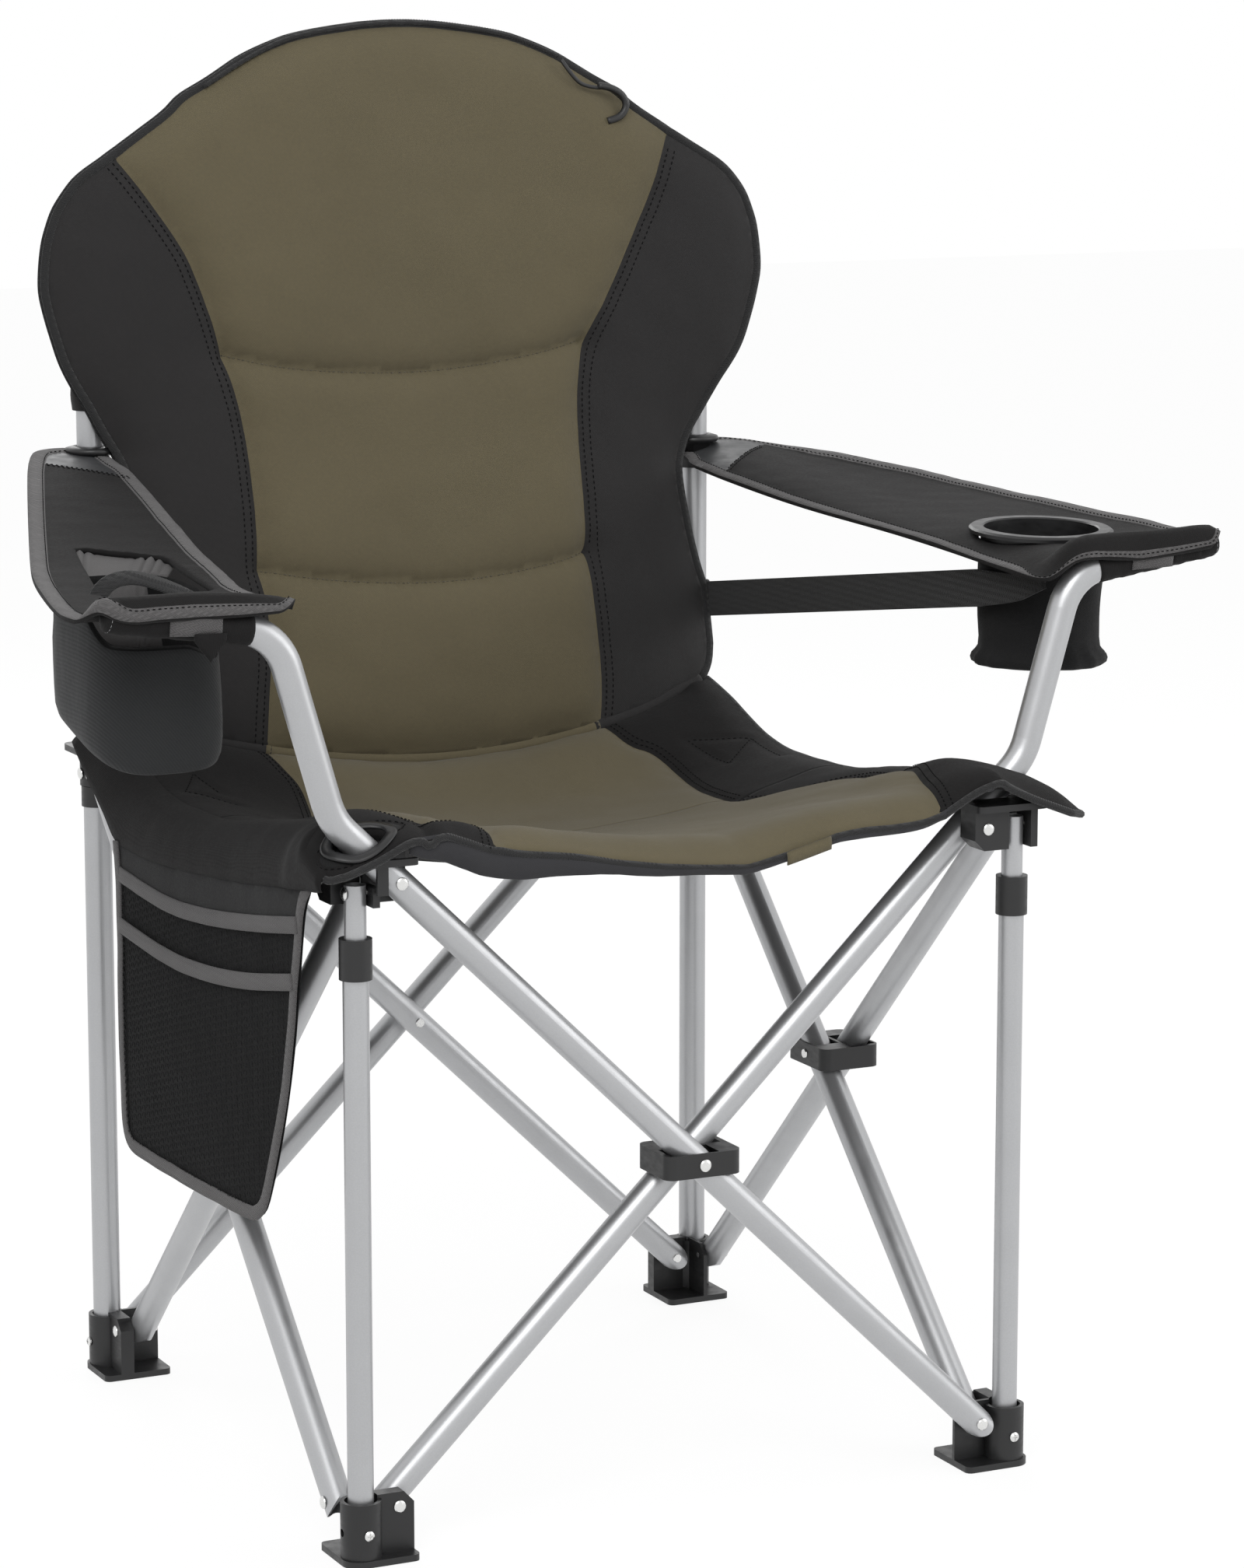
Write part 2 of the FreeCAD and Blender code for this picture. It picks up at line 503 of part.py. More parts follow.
# webbing strap from the right back post to the right arm tube
a, b = V(S + 2, S - 13.0, 604), V(P + 70.5, Y_INN + 12.0, 660)
strap = Part.Face(Part.makePolygon([a - V(0, 0, 15), b - V(0, 0, 15), b + V(0, 0, 15), a + V(0, 0, 15),
                                    a - V(0, 0, 15)])).extrude(V(2, 0, 0))
loop = pipe((S, S, 589), (0, 0, 1), R + 3, R + 0.8, 30)
d = (ARM_R[1] - ARM_R[0]).normalize()
c = ARM_R[0] + d * ((628 - ARM_R[0].z) / d.z)
cuff = Part.makeCylinder(R + 2.8, 24, c, d).cut(Part.makeCylinder(R + 0.8, 24, c, d))
strap = strap.cut(rod((S, S, 560), (0, 0, 1), R + 0.8, 90)).cut(Part.makeCylinder(R + 0.8, 60, c - d * 20, d))
save("arm_strap", join(strap, loop, cuff))
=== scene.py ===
import bpy, bmesh, json, math
import numpy as np
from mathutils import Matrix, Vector, noise
from mathutils.geometry import delaunay_2d_cdt


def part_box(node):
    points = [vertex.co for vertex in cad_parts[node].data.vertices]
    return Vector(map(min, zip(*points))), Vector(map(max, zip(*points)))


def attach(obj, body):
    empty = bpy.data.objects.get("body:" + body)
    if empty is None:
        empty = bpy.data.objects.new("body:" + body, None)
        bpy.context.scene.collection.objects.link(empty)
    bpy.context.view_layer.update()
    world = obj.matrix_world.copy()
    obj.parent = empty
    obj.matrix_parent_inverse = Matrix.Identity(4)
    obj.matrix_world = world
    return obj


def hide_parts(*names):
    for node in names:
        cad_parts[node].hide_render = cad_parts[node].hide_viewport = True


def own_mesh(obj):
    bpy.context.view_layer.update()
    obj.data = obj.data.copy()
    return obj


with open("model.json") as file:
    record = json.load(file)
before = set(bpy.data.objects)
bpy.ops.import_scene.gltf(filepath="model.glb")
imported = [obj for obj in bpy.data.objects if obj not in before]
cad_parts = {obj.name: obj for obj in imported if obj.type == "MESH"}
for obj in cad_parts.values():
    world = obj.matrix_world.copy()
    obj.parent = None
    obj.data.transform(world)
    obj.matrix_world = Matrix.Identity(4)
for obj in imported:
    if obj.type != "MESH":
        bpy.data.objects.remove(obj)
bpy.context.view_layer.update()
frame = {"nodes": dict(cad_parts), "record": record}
MM = 0.001
S = (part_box("rr_back_post")[0].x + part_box("rr_back_post")[1].x) / 2 / MM     # post axis from the middle, mm

# ---- camera, stage and light
CAMERA_PLACE, CAMERA_VIEW, LENS, SENSOR = (-1.5534, -3.3541, 1.1566), (0.4293, 0.8864, -0.1731), 111.0, 36.0
LIGHTS = [("key", (-1.6, -2.6, 3.0), (0, 0, 0.5), 2.4, 62), ("fill", (3.0, -1.8, 1.8), (0, 0, 0.5), 2.6, 30),
    ("rim", (0.6, 3.0, 2.6), (0, 0, 0.6), 2.0, 34)]      # name, place, aim, size, power
SKY_ON_OBJECT, SKY_SEEN = 0.62, 1.0
FLOOR_HALF, FLOOR_Z, FLOOR_GREY, FLOOR_ROUGH, FLOOR_GLOW, GLOW_SHARE = 12, -0.0005, 0.82, 0.9, 1.05, 0.86
scene = bpy.context.scene
scene.view_settings.view_transform = "Standard"


def add(name, data, place=None, toward=None):
    """A new object in the scene; one with a direction looks along it."""
    ob = bpy.data.objects.new(name, data)
    scene.collection.objects.link(ob)
    if toward is not None:
        ob.location = place
        ob.rotation_mode = "QUATERNION"
        ob.rotation_quaternion = Vector(toward).to_track_quat("-Z", "Y")
    return ob


cam = add("camera", bpy.data.cameras.new("camera"), CAMERA_PLACE, CAMERA_VIEW)
cam.data.lens, cam.data.sensor_width = LENS, SENSOR
scene.camera = cam
for name, place, aim, size, power in LIGHTS:
    lamp = add(name, bpy.data.lights.new(name, "AREA"), place, Vector(aim) - Vector(place)).data
    lamp.shape, lamp.size, lamp.energy = "DISK", size, power


def white_for_camera(tree, dull, out_type):
    """What the camera or a gloss ray sees is white; light on the object stays at its plain level."""
    path = tree.nodes.new("ShaderNodeLightPath")
    high = tree.nodes.new("ShaderNodeMath")
    high.operation = "MAXIMUM"
    tree.links.new(path.outputs["Is Camera Ray"], high.inputs[0])
    tree.links.new(path.outputs["Is Glossy Ray"], high.inputs[1])
    mix = tree.nodes.new("ShaderNodeMixShader")
    tree.links.new(high.outputs[0], mix.inputs[0])
    tree.links.new(dull.outputs[0], mix.inputs[1])
    tree.links.new(mix.outputs[0], tree.nodes[out_type].inputs["Surface"])
    return mix


world = bpy.data.worlds.new("studio")
world.use_nodes = True
scene.world = world
sky_tree = world.node_tree
dull, bright = sky_tree.nodes["Background"], sky_tree.nodes.new("ShaderNodeBackground")
for sky, strength in ((dull, SKY_ON_OBJECT), (bright, SKY_SEEN)):
    sky.inputs["Color"].default_value = (1, 1, 1, 1)
    sky.inputs["Strength"].default_value = strength
sky_tree.links.new(bright.outputs[0], white_for_camera(sky_tree, dull, "World Output").inputs[2])

floor_mesh = bpy.data.meshes.new("floor")
floor_mesh.from_pydata([(x * FLOOR_HALF, y * FLOOR_HALF, FLOOR_Z)
    for x, y in ((-1, -1), (1, -1), (1, 1), (-1, 1))], [], [(0, 1, 2, 3)])
floor = add("floor", floor_mesh)
floor_mat = bpy.data.materials.new("floor")
floor_mat.use_nodes = True
floor_tree = floor_mat.node_tree
floor_coat = floor_tree.nodes["Principled BSDF"]
floor_coat.inputs["Base Color"].default_value = (FLOOR_GREY, FLOOR_GREY, FLOOR_GREY, 1)
floor_coat.inputs["Roughness"].default_value = FLOOR_ROUGH
glow = floor_tree.nodes.new("ShaderNodeEmission")
glow.inputs["Strength"].default_value = FLOOR_GLOW
soft = floor_tree.nodes.new("ShaderNodeMixShader")
soft.inputs[0].default_value = GLOW_SHARE
floor_tree.links.new(floor_coat.outputs[0], soft.inputs[1])
floor_tree.links.new(glow.outputs[0], soft.inputs[2])
floor_tree.links.new(soft.outputs[0], white_for_camera(floor_tree, floor_coat, "Material Output").inputs[2])
floor_mesh.materials.append(floor_mat)


# ---- materials
SHEEN_ROUGH = 0.45


class Nodes:
    """Short hand for building one material's node tree."""

    def __init__(self, name, rough, metal=0.0, sheen=0.0, spec=0.5):
        self.mat = bpy.data.materials.new(name)
        self.mat.use_nodes = True
        self.tree = self.mat.node_tree
        self.bsdf = self.tree.nodes["Principled BSDF"]
        for key, value in (("Roughness", rough), ("Metallic", metal), ("Sheen Weight", sheen),
                ("Specular IOR Level", spec), ("Sheen Roughness", SHEEN_ROUGH)):
            self.bsdf.inputs[key].default_value = value
        self.coord = self.new("ShaderNodeTexCoord").outputs["Object"]
        self.xyz = self.new("ShaderNodeSeparateXYZ", self.coord).outputs

    def new(self, kind, *links, **props):
        n = self.tree.nodes.new(kind)
        for k, v in props.items():
            setattr(n, k, v)
        for i, v in enumerate(links):
            if isinstance(v, bpy.types.NodeSocket):
                self.tree.links.new(v, n.inputs[i])
            elif v is not None:
                n.inputs[i].default_value = v
        return n

    def math(self, op, *args):
        return self.new("ShaderNodeMath", *args, operation=op).outputs[0]

    def wave(self, source, period_mm):
        return self.math("SINE", self.math("MULTIPLY", source, 2 * math.pi / (period_mm * MM)))

    def speck(self, size_mm, detail=2.0, stretch=(1, 1, 1)):
        mapped = self.new("ShaderNodeMapping", self.coord, None, None, Vector(stretch)).outputs[0]
        n = self.new("ShaderNodeTexNoise", mapped)
        n.inputs["Scale"].default_value = 1000.0 / size_mm
        n.inputs["Detail"].default_value = detail
        return n.outputs[0]

    def tint(self, color, *terms):
        """Base colour times 1 + sum(amount * (value - middle))."""
        total = None
        for value, middle, amount in terms:
            t = self.math("MULTIPLY", self.math("SUBTRACT", value, middle), amount)
            total = t if total is None else self.math("ADD", total, t)
        factor = self.math("ADD", total, 1.0)
        scaled = self.new("ShaderNodeVectorMath", tuple(color), operation="SCALE")
        self.tree.links.new(factor, scaled.inputs["Scale"])
        self.tree.links.new(scaled.outputs[0], self.bsdf.inputs["Base Color"])

    def rough(self, value, low, high):
        r = self.new("ShaderNodeMapRange", value, 0.3, 0.7, low, high).outputs[0]
        self.tree.links.new(r, self.bsdf.inputs["Roughness"])

    def bump(self, *layers):
        last = None
        for value, mm, strength in layers:
            b = self.new("ShaderNodeBump", strength, mm * MM)
            self.tree.links.new(value, b.inputs["Height"])
            if last is not None:
                self.tree.links.new(last, b.inputs["Normal"])
            last = b.outputs[0]
        self.tree.links.new(last, self.bsdf.inputs["Normal"])


def fabric(name, color, axes="XZ", period=1.2, twill=False, sheen=0.12, low=0.78, high=0.94, crease=0.7,
        mottle=0.16, spec=0.3):
    """Woven cloth: threads, mottled dye, soft creases; axes are the two directions that it lies in."""
    n = Nodes(name, high, sheen=sheen, spec=spec)
    a, b = n.xyz["XYZ".index(axes[0])], n.xyz["XYZ".index(axes[1])]
    if twill:
        diagonal = n.math("ADD", a, n.math("MULTIPLY", b, 0.8))
        fine = n.math("MULTIPLY", n.wave(b, period * 0.7), 0.2)
        weave = n.math("ADD", n.math("MULTIPLY", n.wave(diagonal, period * 1.6), 0.8), fine)
    else:
        weave = n.math("MULTIPLY", n.wave(a, period), n.wave(b, period))
    grain, cloud = n.speck(2.2, 3.0), n.speck(70.0, 3.0)
    n.tint(color, (weave, 0.0, 0.13), (grain, 0.5, mottle * 2.2), (cloud, 0.5, mottle))
    n.rough(grain, low, high)
    n.bump((n.speck(26.0, 2.0, (1, 1, 0.45)), 2.2 * crease, 0.35), (weave, 0.18, 0.5), (grain, 0.25, 0.4))
    return n.mat


def binding(name, color, period=2.4):
    """Herringbone tape."""
    n = Nodes(name, 0.85, sheen=0.15, spec=0.3)
    zig = n.math("PINGPONG", n.math("ADD", n.xyz[2], n.math("MULTIPLY", n.xyz[0], 0.35)), 2.6 * MM)
    slope = n.math("ADD", n.xyz[1], n.math("MULTIPLY", n.xyz[0], 0.8))
    line = n.math("ADD", slope, n.math("MULTIPLY", zig, 1.4))
    rib = n.wave(line, period)
    grain = n.speck(1.6, 3.0)
    n.tint(color, (rib, 0.0, 0.16), (grain, 0.5, 0.35), (n.speck(40.0), 0.5, 0.2))
    n.rough(grain, 0.72, 0.92)
    n.bump((rib, 0.35, 0.6), (grain, 0.2, 0.35))
    return n.mat


def tube_paint():
    n = Nodes("coated_tube", 0.36, metal=0.72)
    fine, cloud = n.speck(0.9, 3.0), n.speck(45.0, 2.0)
    n.tint((0.46, 0.465, 0.475), (fine, 0.5, 0.16), (cloud, 0.5, 0.08))
    n.rough(n.speck(14.0, 2.0), 0.33, 0.40)
    return n.mat


def plastic(name, color, low, high):
    n = Nodes(name, high)
    grain, scuff = n.speck(0.8, 2.0), n.speck(9.0, 5.0, (1, 1, 3))
    n.tint(color, (scuff, 0.5, 0.5), (grain, 0.5, 0.2))
    n.rough(scuff, low, high)
    n.bump((grain, 0.08, 0.45), (n.speck(18.0), 0.2, 0.15))
    return n.mat


def steel():
    n = Nodes("bright_steel", 0.22, metal=1.0)
    scratch = n.speck(1.2, 4.0, (1, 1, 6))
    n.tint((0.74, 0.74, 0.73), (scratch, 0.5, 0.25))
    n.rough(scratch, 0.16, 0.34)
    n.bump((scratch, 0.04, 0.4))
    return n.mat


OLIVE, BLACK, GREY = (0.117, 0.099, 0.0585), (0.0205, 0.0195, 0.0197), (0.088, 0.0845, 0.085)
olive_back = fabric("olive_back", OLIVE, "XZ")
olive_seat = fabric("olive_seat", OLIVE, "XY")
black_back = fabric("black_back", BLACK, "XZ", mottle=0.22)
# Painted shade: the same black cloth as the back, made darker and duller, so that the seat's and arm rests'
# upward faces, which catch more light, come out as dark as the back.
black_seat = fabric("black_seat", (0.0118, 0.0112, 0.0113), "XY", mottle=0.22, sheen=0.04, spec=0.15)
black_side = fabric("black_side", (0.0125, 0.0125, 0.013), "YZ", mottle=0.2, sheen=0.06, spec=0.2)
bag_cloth = fabric("bag_cloth", (0.0215, 0.0225, 0.0235), "XZ", period=1.5, twill=True, mottle=0.25,
    crease=1.1)
# Inner cloth of the cooler bag and backing of the side pocket: real cloth, made near-black and darker than the
# other black cloths, as painted shade for the insides.
lining_painted_shade = fabric("lining_painted_shade", (0.008, 0.008, 0.0083), "XY", mottle=0.2, crease=1.2, sheen=0.04, spec=0.15)
grey_tape = binding("grey_tape", GREY)
black_tape = binding("black_tape", (0.020, 0.020, 0.0205), 1.8)
thread = fabric("thread", (0.005, 0.005, 0.0055), "XZ", period=0.6, sheen=0.0, crease=0.0, spec=0.1)
olive_thread = fabric("olive_thread", (0.085, 0.072, 0.043), "XZ", period=0.6, sheen=0.3, crease=0.0)
pleat_cloth = fabric("pleat_cloth", (0.085, 0.082, 0.082), "XZ", mottle=0.2)
band_cloth = fabric("band_cloth", (0.031, 0.031, 0.034), "XZ", mottle=0.2)
vinyl = plastic("vinyl", (0.034, 0.035, 0.037), 0.48, 0.62)
net_cord = fabric("net_cord", (0.012, 0.012, 0.0125), "YZ", period=0.7, sheen=0.05, crease=0.0)
black_plastic = plastic("black_plastic", (0.0125, 0.0125, 0.013), 0.34, 0.52)
gloss_plastic = plastic("gloss_plastic", (0.0075, 0.0075, 0.008), 0.34, 0.46)
paint, bright_steel = tube_paint(), steel()
SLOTS = {"coated_tube": paint, "black_plastic": black_plastic, "bright_steel": bright_steel,
    "olive_fabric": olive_back, "black_fabric": black_seat, "webbing": black_tape}
for part in frame["record"]["subparts"]:
    mat = gloss_plastic if part["node"] == "cup_ring" else SLOTS[part["material_slot"]]
    node = frame["nodes"][part["node"]]
    if not node.material_slots:
        node.data.materials.append(mat)
    for place_ in node.material_slots:
        place_.material = mat


# ---- geometry tools (all in millimetres)
def cardinal(knots, q):
    """Weights of the natural cubic spline through the knots, at each q."""
    k = np.array(knots, float)
    n, h = len(k), np.diff(k)
    A, B = np.eye(n), np.zeros((n, n))
    for i in range(1, n - 1):
        A[i, i - 1:i + 2] = h[i - 1], 2 * (h[i - 1] + h[i]), h[i]
        B[i, i - 1:i + 2] = 6 / h[i - 1], -6 / h[i - 1] - 6 / h[i], 6 / h[i]
    M = np.linalg.solve(A, B)
    q = np.clip(np.atleast_1d(np.array(q, float)), k[0], k[-1])
    j = np.clip(np.searchsorted(k, q) - 1, 0, n - 2)
    a = (k[j + 1] - q) / h[j]
    b = 1 - a
    return (a[:, None] * np.eye(n)[j] + b[:, None] * np.eye(n)[j + 1]
        + ((a**3 - a)[:, None] * M[j] + (b**3 - b)[:, None] * M[j + 1]) * (h[j]**2 / 6)[:, None])


def table(kv, ku, T):
    T = np.array(T, float)
    return lambda u, v: np.einsum("pi,ij,pj->p", cardinal(kv, v), T, cardinal(ku, u))


def smooth(a, b, x):
    """From 0 at a to 1 at b, with soft ends."""
    t = np.clip((x - a) / (b - a), 0, 1)
    return t * t * (3 - 2 * t)


def unit(v):
    return v / np.maximum(np.linalg.norm(v, axis=-1, keepdims=True), 1e-9)


def bell(x, width):
    return np.exp(-(x / width) ** 2)


def points(*values):
    """Points from their coordinates; a single number counts for every point."""
    return np.stack(np.broadcast_arrays(*values), 1)


def angles(k):
    return np.linspace(0, 2 * math.pi, k + 1)[:-1]


def circle(r, k, ry=None, centre=(0.0, 0.0)):
    """k points round the centre; with ry it's an oval."""
    across, up = r * np.cos(angles(k)), (r if ry is None else ry) * np.sin(angles(k))
    return points(centre[0] + across, centre[1] + up)


def looped(line):
    return np.vstack([line, line[:1]])


def quads(rows, cols, wrap_rows=False, wrap_cols=True):
    """Faces between the points of a grid, which are listed row by row."""
    down, along = range(rows if wrap_rows else rows - 1), range(cols if wrap_cols else cols - 1)
    return [(i * cols + j, i * cols + (j + 1) % cols, (i + 1) % rows * cols + (j + 1) % cols,
        (i + 1) % rows * cols + j) for i in down for j in along]


def caps(rows, cols):
    """The two end faces of a tube of rows rings."""
    return [tuple(range(cols)), tuple(range((rows - 1) * cols, rows * cols))]


def shell(rows, cols):
    """Faces of a thin cloth: a grid, the same grid again behind it, and the strip that joins their rims."""
    n, front = rows * cols, quads(rows, cols, False, False)
    right, left = [r * cols + cols - 1 for r in range(1, rows)], [r * cols for r in range(rows - 2, 0, -1)]
    rim = list(range(cols)) + right + [(rows - 1) * cols + c for c in range(cols - 2, -1, -1)] + left
    strip = [(a, b, b + n, a + n) for a, b in zip(rim, rim[1:] + rim[:1])]
    return front + [tuple(q + n for q in f[::-1]) for f in front] + strip


def resample(pts, step, closed=False):
    p = np.array(pts, float)
    if closed:
        p = looped(p)
    s = np.concatenate([[0], np.cumsum(np.linalg.norm(np.diff(p, axis=0), axis=1))])
    t = np.linspace(0, s[-1], max(2, int(round(s[-1] / step))) + 1)
    out = points(*(np.interp(t, s, column) for column in p.T))
    return out[:-1] if closed else out


def rounded(pts, step=4.0, closed=False, passes=3):
    """Corner cutting, so a listed line becomes a smooth one."""
    p = np.array(pts, float)
    for _ in range(passes):
        q = np.roll(p, -1, 0) if closed else p[1:]
        a = p if closed else p[:-1]
        cut = np.stack([a * 0.75 + q * 0.25, a * 0.25 + q * 0.75], 1).reshape(-1, p.shape[1])
        p = cut if closed else np.vstack([p[:1], cut[1:-1], p[-1:]])
    return resample(p, step, closed)


def clipped(poly, cut, step=4.0):
    """A polygon with each corner cut off by the same length."""
    p = np.array(poly, float)
    ends = [(q, np.roll(p, k, 0)[i]) for i, q in enumerate(p) for k in (1, -1)]
    return resample([q + cut * unit(o - q) for q, o in ends], step, True)


def inside(p, poly):
    hit, (x, y) = np.zeros(len(p), bool), p.T
    a, b = np.array(poly, float), np.roll(np.array(poly, float), -1, 0)
    for (x0, y0), (x1, y1) in zip(a, b):
        if y0 != y1:
            hit ^= ((y0 > y) != (y1 > y)) & (x < (x1 - x0) * (y - y0) / (y1 - y0) + x0)
    return hit


def distance(p, line):
    best = np.full(len(p), 1e9)
    for a, b in zip(line[:-1], line[1:]):
        d = b - a
        t = np.clip(((p - a) @ d) / max(d @ d, 1e-9), 0, 1)
        best = np.minimum(best, np.hypot(*(p - a - t[:, None] * d).T))
    return best


def offset(line, d, closed=False):
    """The line moved sideways by d, to the left of its direction."""
    p = np.array(line, float)
    t = np.roll(p, -1, 0) - np.roll(p, 1, 0) if closed else np.gradient(p, axis=0)
    t = unit(t)
    return p + d * points(-t[:, 1], t[:, 0])


def way_in(line):
    """1 if the inner side of a closed line is on its left, or else -1."""
    return 1 if inside(offset(line, 3.0, True)[:1], line)[0] else -1


def ripple(uv, size, seed=0.0):
    return np.array([noise.noise(Vector((u / size, v / size, seed))) for u, v in uv])


def make(name, verts, faces, mats, index=None, recalc=True):
    me = bpy.data.meshes.new(name)
    me.from_pydata((np.array(verts, float) * MM).tolist(), [], [[int(i) for i in f] for f in faces])
    for m in mats:
        me.materials.append(m)
    if index is not None:
        me.polygons.foreach_set("material_index", np.array(index, np.int32))
    me.polygons.foreach_set("use_smooth", [True] * len(me.polygons))
    if recalc:
        bm = bmesh.new()
        bm.from_mesh(me)
        bmesh.ops.recalc_face_normals(bm, faces=bm.faces)
        bm.to_mesh(me)
        bm.free()
    me.update()
    return add(name, me)


def band(w, h, r):
    """Rounded strip section, w wide and h thick."""
    return [(-w / 2, -h / 2 + r), (-w / 2 + r, -h / 2), (w / 2 - r, -h / 2), (w / 2, -h / 2 + r),
        (w / 2, h / 2 - r), (w / 2 - r, h / 2), (-w / 2 + r, h / 2), (-w / 2, h / 2 - r)]


def sweep(name, path, section, mat, normal=None, closed=False):
    """Section points are (sideways, along the normal)."""
    p = np.array(path, float)
    t = unit(np.roll(p, -1, 0) - np.roll(p, 1, 0) if closed else np.gradient(p, axis=0))
    if normal is None:
        ref = np.array([0, 0, 1.0]) if abs(t[0][2]) < 0.9 else np.array([1.0, 0, 0])
        ns = [unit(ref - t[0] * (ref @ t[0]))]
        for ti in t[1:]:
            ns.append(unit(ns[-1] - ti * (ns[-1] @ ti)))
        n = np.array(ns)
    else:
        n = np.broadcast_to(np.array(normal, float), p.shape)
        n = unit(n - t * np.sum(n * t, 1, keepdims=True))
    s = np.cross(t, n)
    sec = np.array(section, float)
    if sec.ndim == 2:
        sec = np.repeat(sec[None], len(p), 0)
    m, k = sec.shape[1], len(p)
    ring = (p[:, None] + sec[:, :, :1] * s[:, None] + sec[:, :, 1:] * n[:, None]).reshape(-1, 3)
    return make(name, ring, quads(k, m, closed) + ([] if closed else caps(k, m)), [mat])


def dashes(name, runs, mat, length=3.0, gap=1.7, r=0.42, lift=0.15):
    """Stitch rows: each run is (points, normals)."""
    verts, faces = [], []
    for path, normal in runs:
        both = np.hstack([path, np.broadcast_to(normal, np.shape(path))])
        s = np.concatenate([[0], np.cumsum(np.linalg.norm(np.diff(both[:, :3], axis=0), axis=1))])
        for c in np.arange(length, s[-1] - length, length + gap):
            a, m, b = (np.array([np.interp(c + o, s, both[:, i]) for i in range(6)])
                for o in (-length / 2, 0, length / 2))
            t, n = unit(b[:3] - a[:3]), unit(m[3:])
            w = unit(np.cross(t, n))
            n = np.cross(w, t)
            mid = m[:3] + n * (lift + r * 0.5)
            base = len(verts)
            verts.append(mid - t * length / 2 - n * r)
            for o in (-0.28, 0.28):
                verts += [mid + t * o * length + q * r for q in (w, n, -w, -n)]
            verts.append(mid + t * length / 2 - n * r)
            for j in range(4):
                k = (j + 1) % 4
                corners = ((0, 1 + k, 1 + j), (1 + j, 1 + k, 5 + k, 5 + j), (9, 5 + j, 5 + k))
                faces += [tuple(base + q for q in f) for f in corners]
    return make(name, verts, faces, [mat])


def settle(ob, body, nodes=(), squash=None):
    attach(ob, body)
    if nodes:
        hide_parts(*nodes)
    if squash:
        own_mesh(ob)
    return ob


def onto(body, squash):
    """Short hand for the pieces that go on one body; each gets a mesh of its own."""
    return lambda ob, slot="black_fabric", nodes=(): settle(ob, body, nodes, squash)


class Panel:
    """A sewn, padded panel laid on a surface: pattern outline, holes, seams, and puff between them."""

    def __init__(self, place, sign, edge, puff, reach, seams=(), extra=None, low=None):
        self.place, self.sign, self.edge, self.puff, self.reach = place, sign, edge, puff, reach
        self.seams, self.extra, self.low = seams, extra, low

    def height(self, uv):
        d = np.min([distance(uv, e) for e in self.edge], 0)
        h = self.puff(uv) if callable(self.puff) else self.puff
        if self.low:
            lines, base, reach = self.low
            near = np.min([distance(uv, line) for line in lines], 0)
            h = base + (h - base) * (1 - np.exp(-(near / reach) ** 1.3))
        h = h * (1 - np.exp(-(d / self.reach) ** 1.3))
        for line, depth, width in self.seams:
            h = h - depth * np.exp(-(distance(uv, line) / width) ** 1.4)
        return h + (self.extra(uv) if self.extra else 0)

    def normal(self, uv):
        e = 0.8
        du = self.place(uv + [e, 0]) - self.place(uv - [e, 0])
        dv = self.place(uv + [0, e]) - self.place(uv - [0, e])
        return unit(np.cross(du, dv)) * self.sign

    def at(self, uv, lift=0.0):
        """Points on the padded face, and their normals."""
        uv = np.array(uv, float)
        n = self.normal(uv)
        return self.place(uv) + n * (self.height(uv) + lift)[:, None], n

    def build(self, name, outline, mats, region=None, holes=(), lines=(), step=5.0, thick=4.0, under=0,
            rim_thick=0.5):
        rims = [resample(outline, step, True)] + [resample(h, step * 0.7, True) for h in holes]
        chains = [resample(s, step) for s in lines]
        pts, edges = [], []
        for r in rims:
            edges += [(len(pts) + i, len(pts) + (i + 1) % len(r)) for i in range(len(r))]
            pts += list(r)
        for c in chains:
            edges += [(len(pts) + i, len(pts) + i + 1) for i in range(len(c) - 1)]
            pts += list(c)
        lo, hi = rims[0].min(0), rims[0].max(0)
        levels = np.arange(lo[1], hi[1], step * 0.866)
        grid = np.array([(x + j % 2 * step / 2, y) for j, y in enumerate(levels)
            for x in np.arange(lo[0], hi[0], step)])
        near = np.min([distance(grid, looped(r)) for r in rims] + [distance(grid, c) for c in chains], 0)
        grid = grid[(near > 0.5 * step) & inside(grid, rims[0])]
        out = delaunay_2d_cdt([Vector(p) for p in pts] + [Vector(p) for p in grid], edges, [], 0, 1e-4)
        uv, tri = np.array([tuple(v) for v in out[0]]), np.array([f for f in out[2] if len(f) == 3])
        mid = uv[tri].mean(1)
        keep = inside(mid, rims[0])
        for h in rims[1:]:
            keep &= ~inside(mid, h)
        tri, mid = tri[keep], mid[keep]
        used = np.unique(tri)
        remap = -np.ones(len(uv), int)
        remap[used] = np.arange(len(used))
        uv, tri = uv[used], remap[tri]
        n = len(uv)
        top, normal = self.at(uv)
        d = np.min([distance(uv, looped(r)) for r in rims], 0)
        t = thick * (rim_thick + (1 - rim_thick) * (1 - np.exp(-d / 8.0)))
        low = self.place(uv) - normal * t[:, None]
        count = {}
        for f in tri:
            for a, b in ((f[0], f[1]), (f[1], f[2]), (f[2], f[0])):
                count[(a, b)] = count.get((a, b), 0) + 1
        border = [(a, b) for a, b in count if (b, a) not in count]
        faces = [tuple(f) for f in tri] + [(f[0] + n, f[2] + n, f[1] + n) for f in tri]
        faces += [(b, a, a + n, b + n) for a, b in border]
        reg = np.array(region(mid), int) if region else [0] * len(tri)
        index = list(reg) + [under] * len(tri) + [under] * len(border)
        return make(name, np.vstack([top, low]), faces, mats, index)


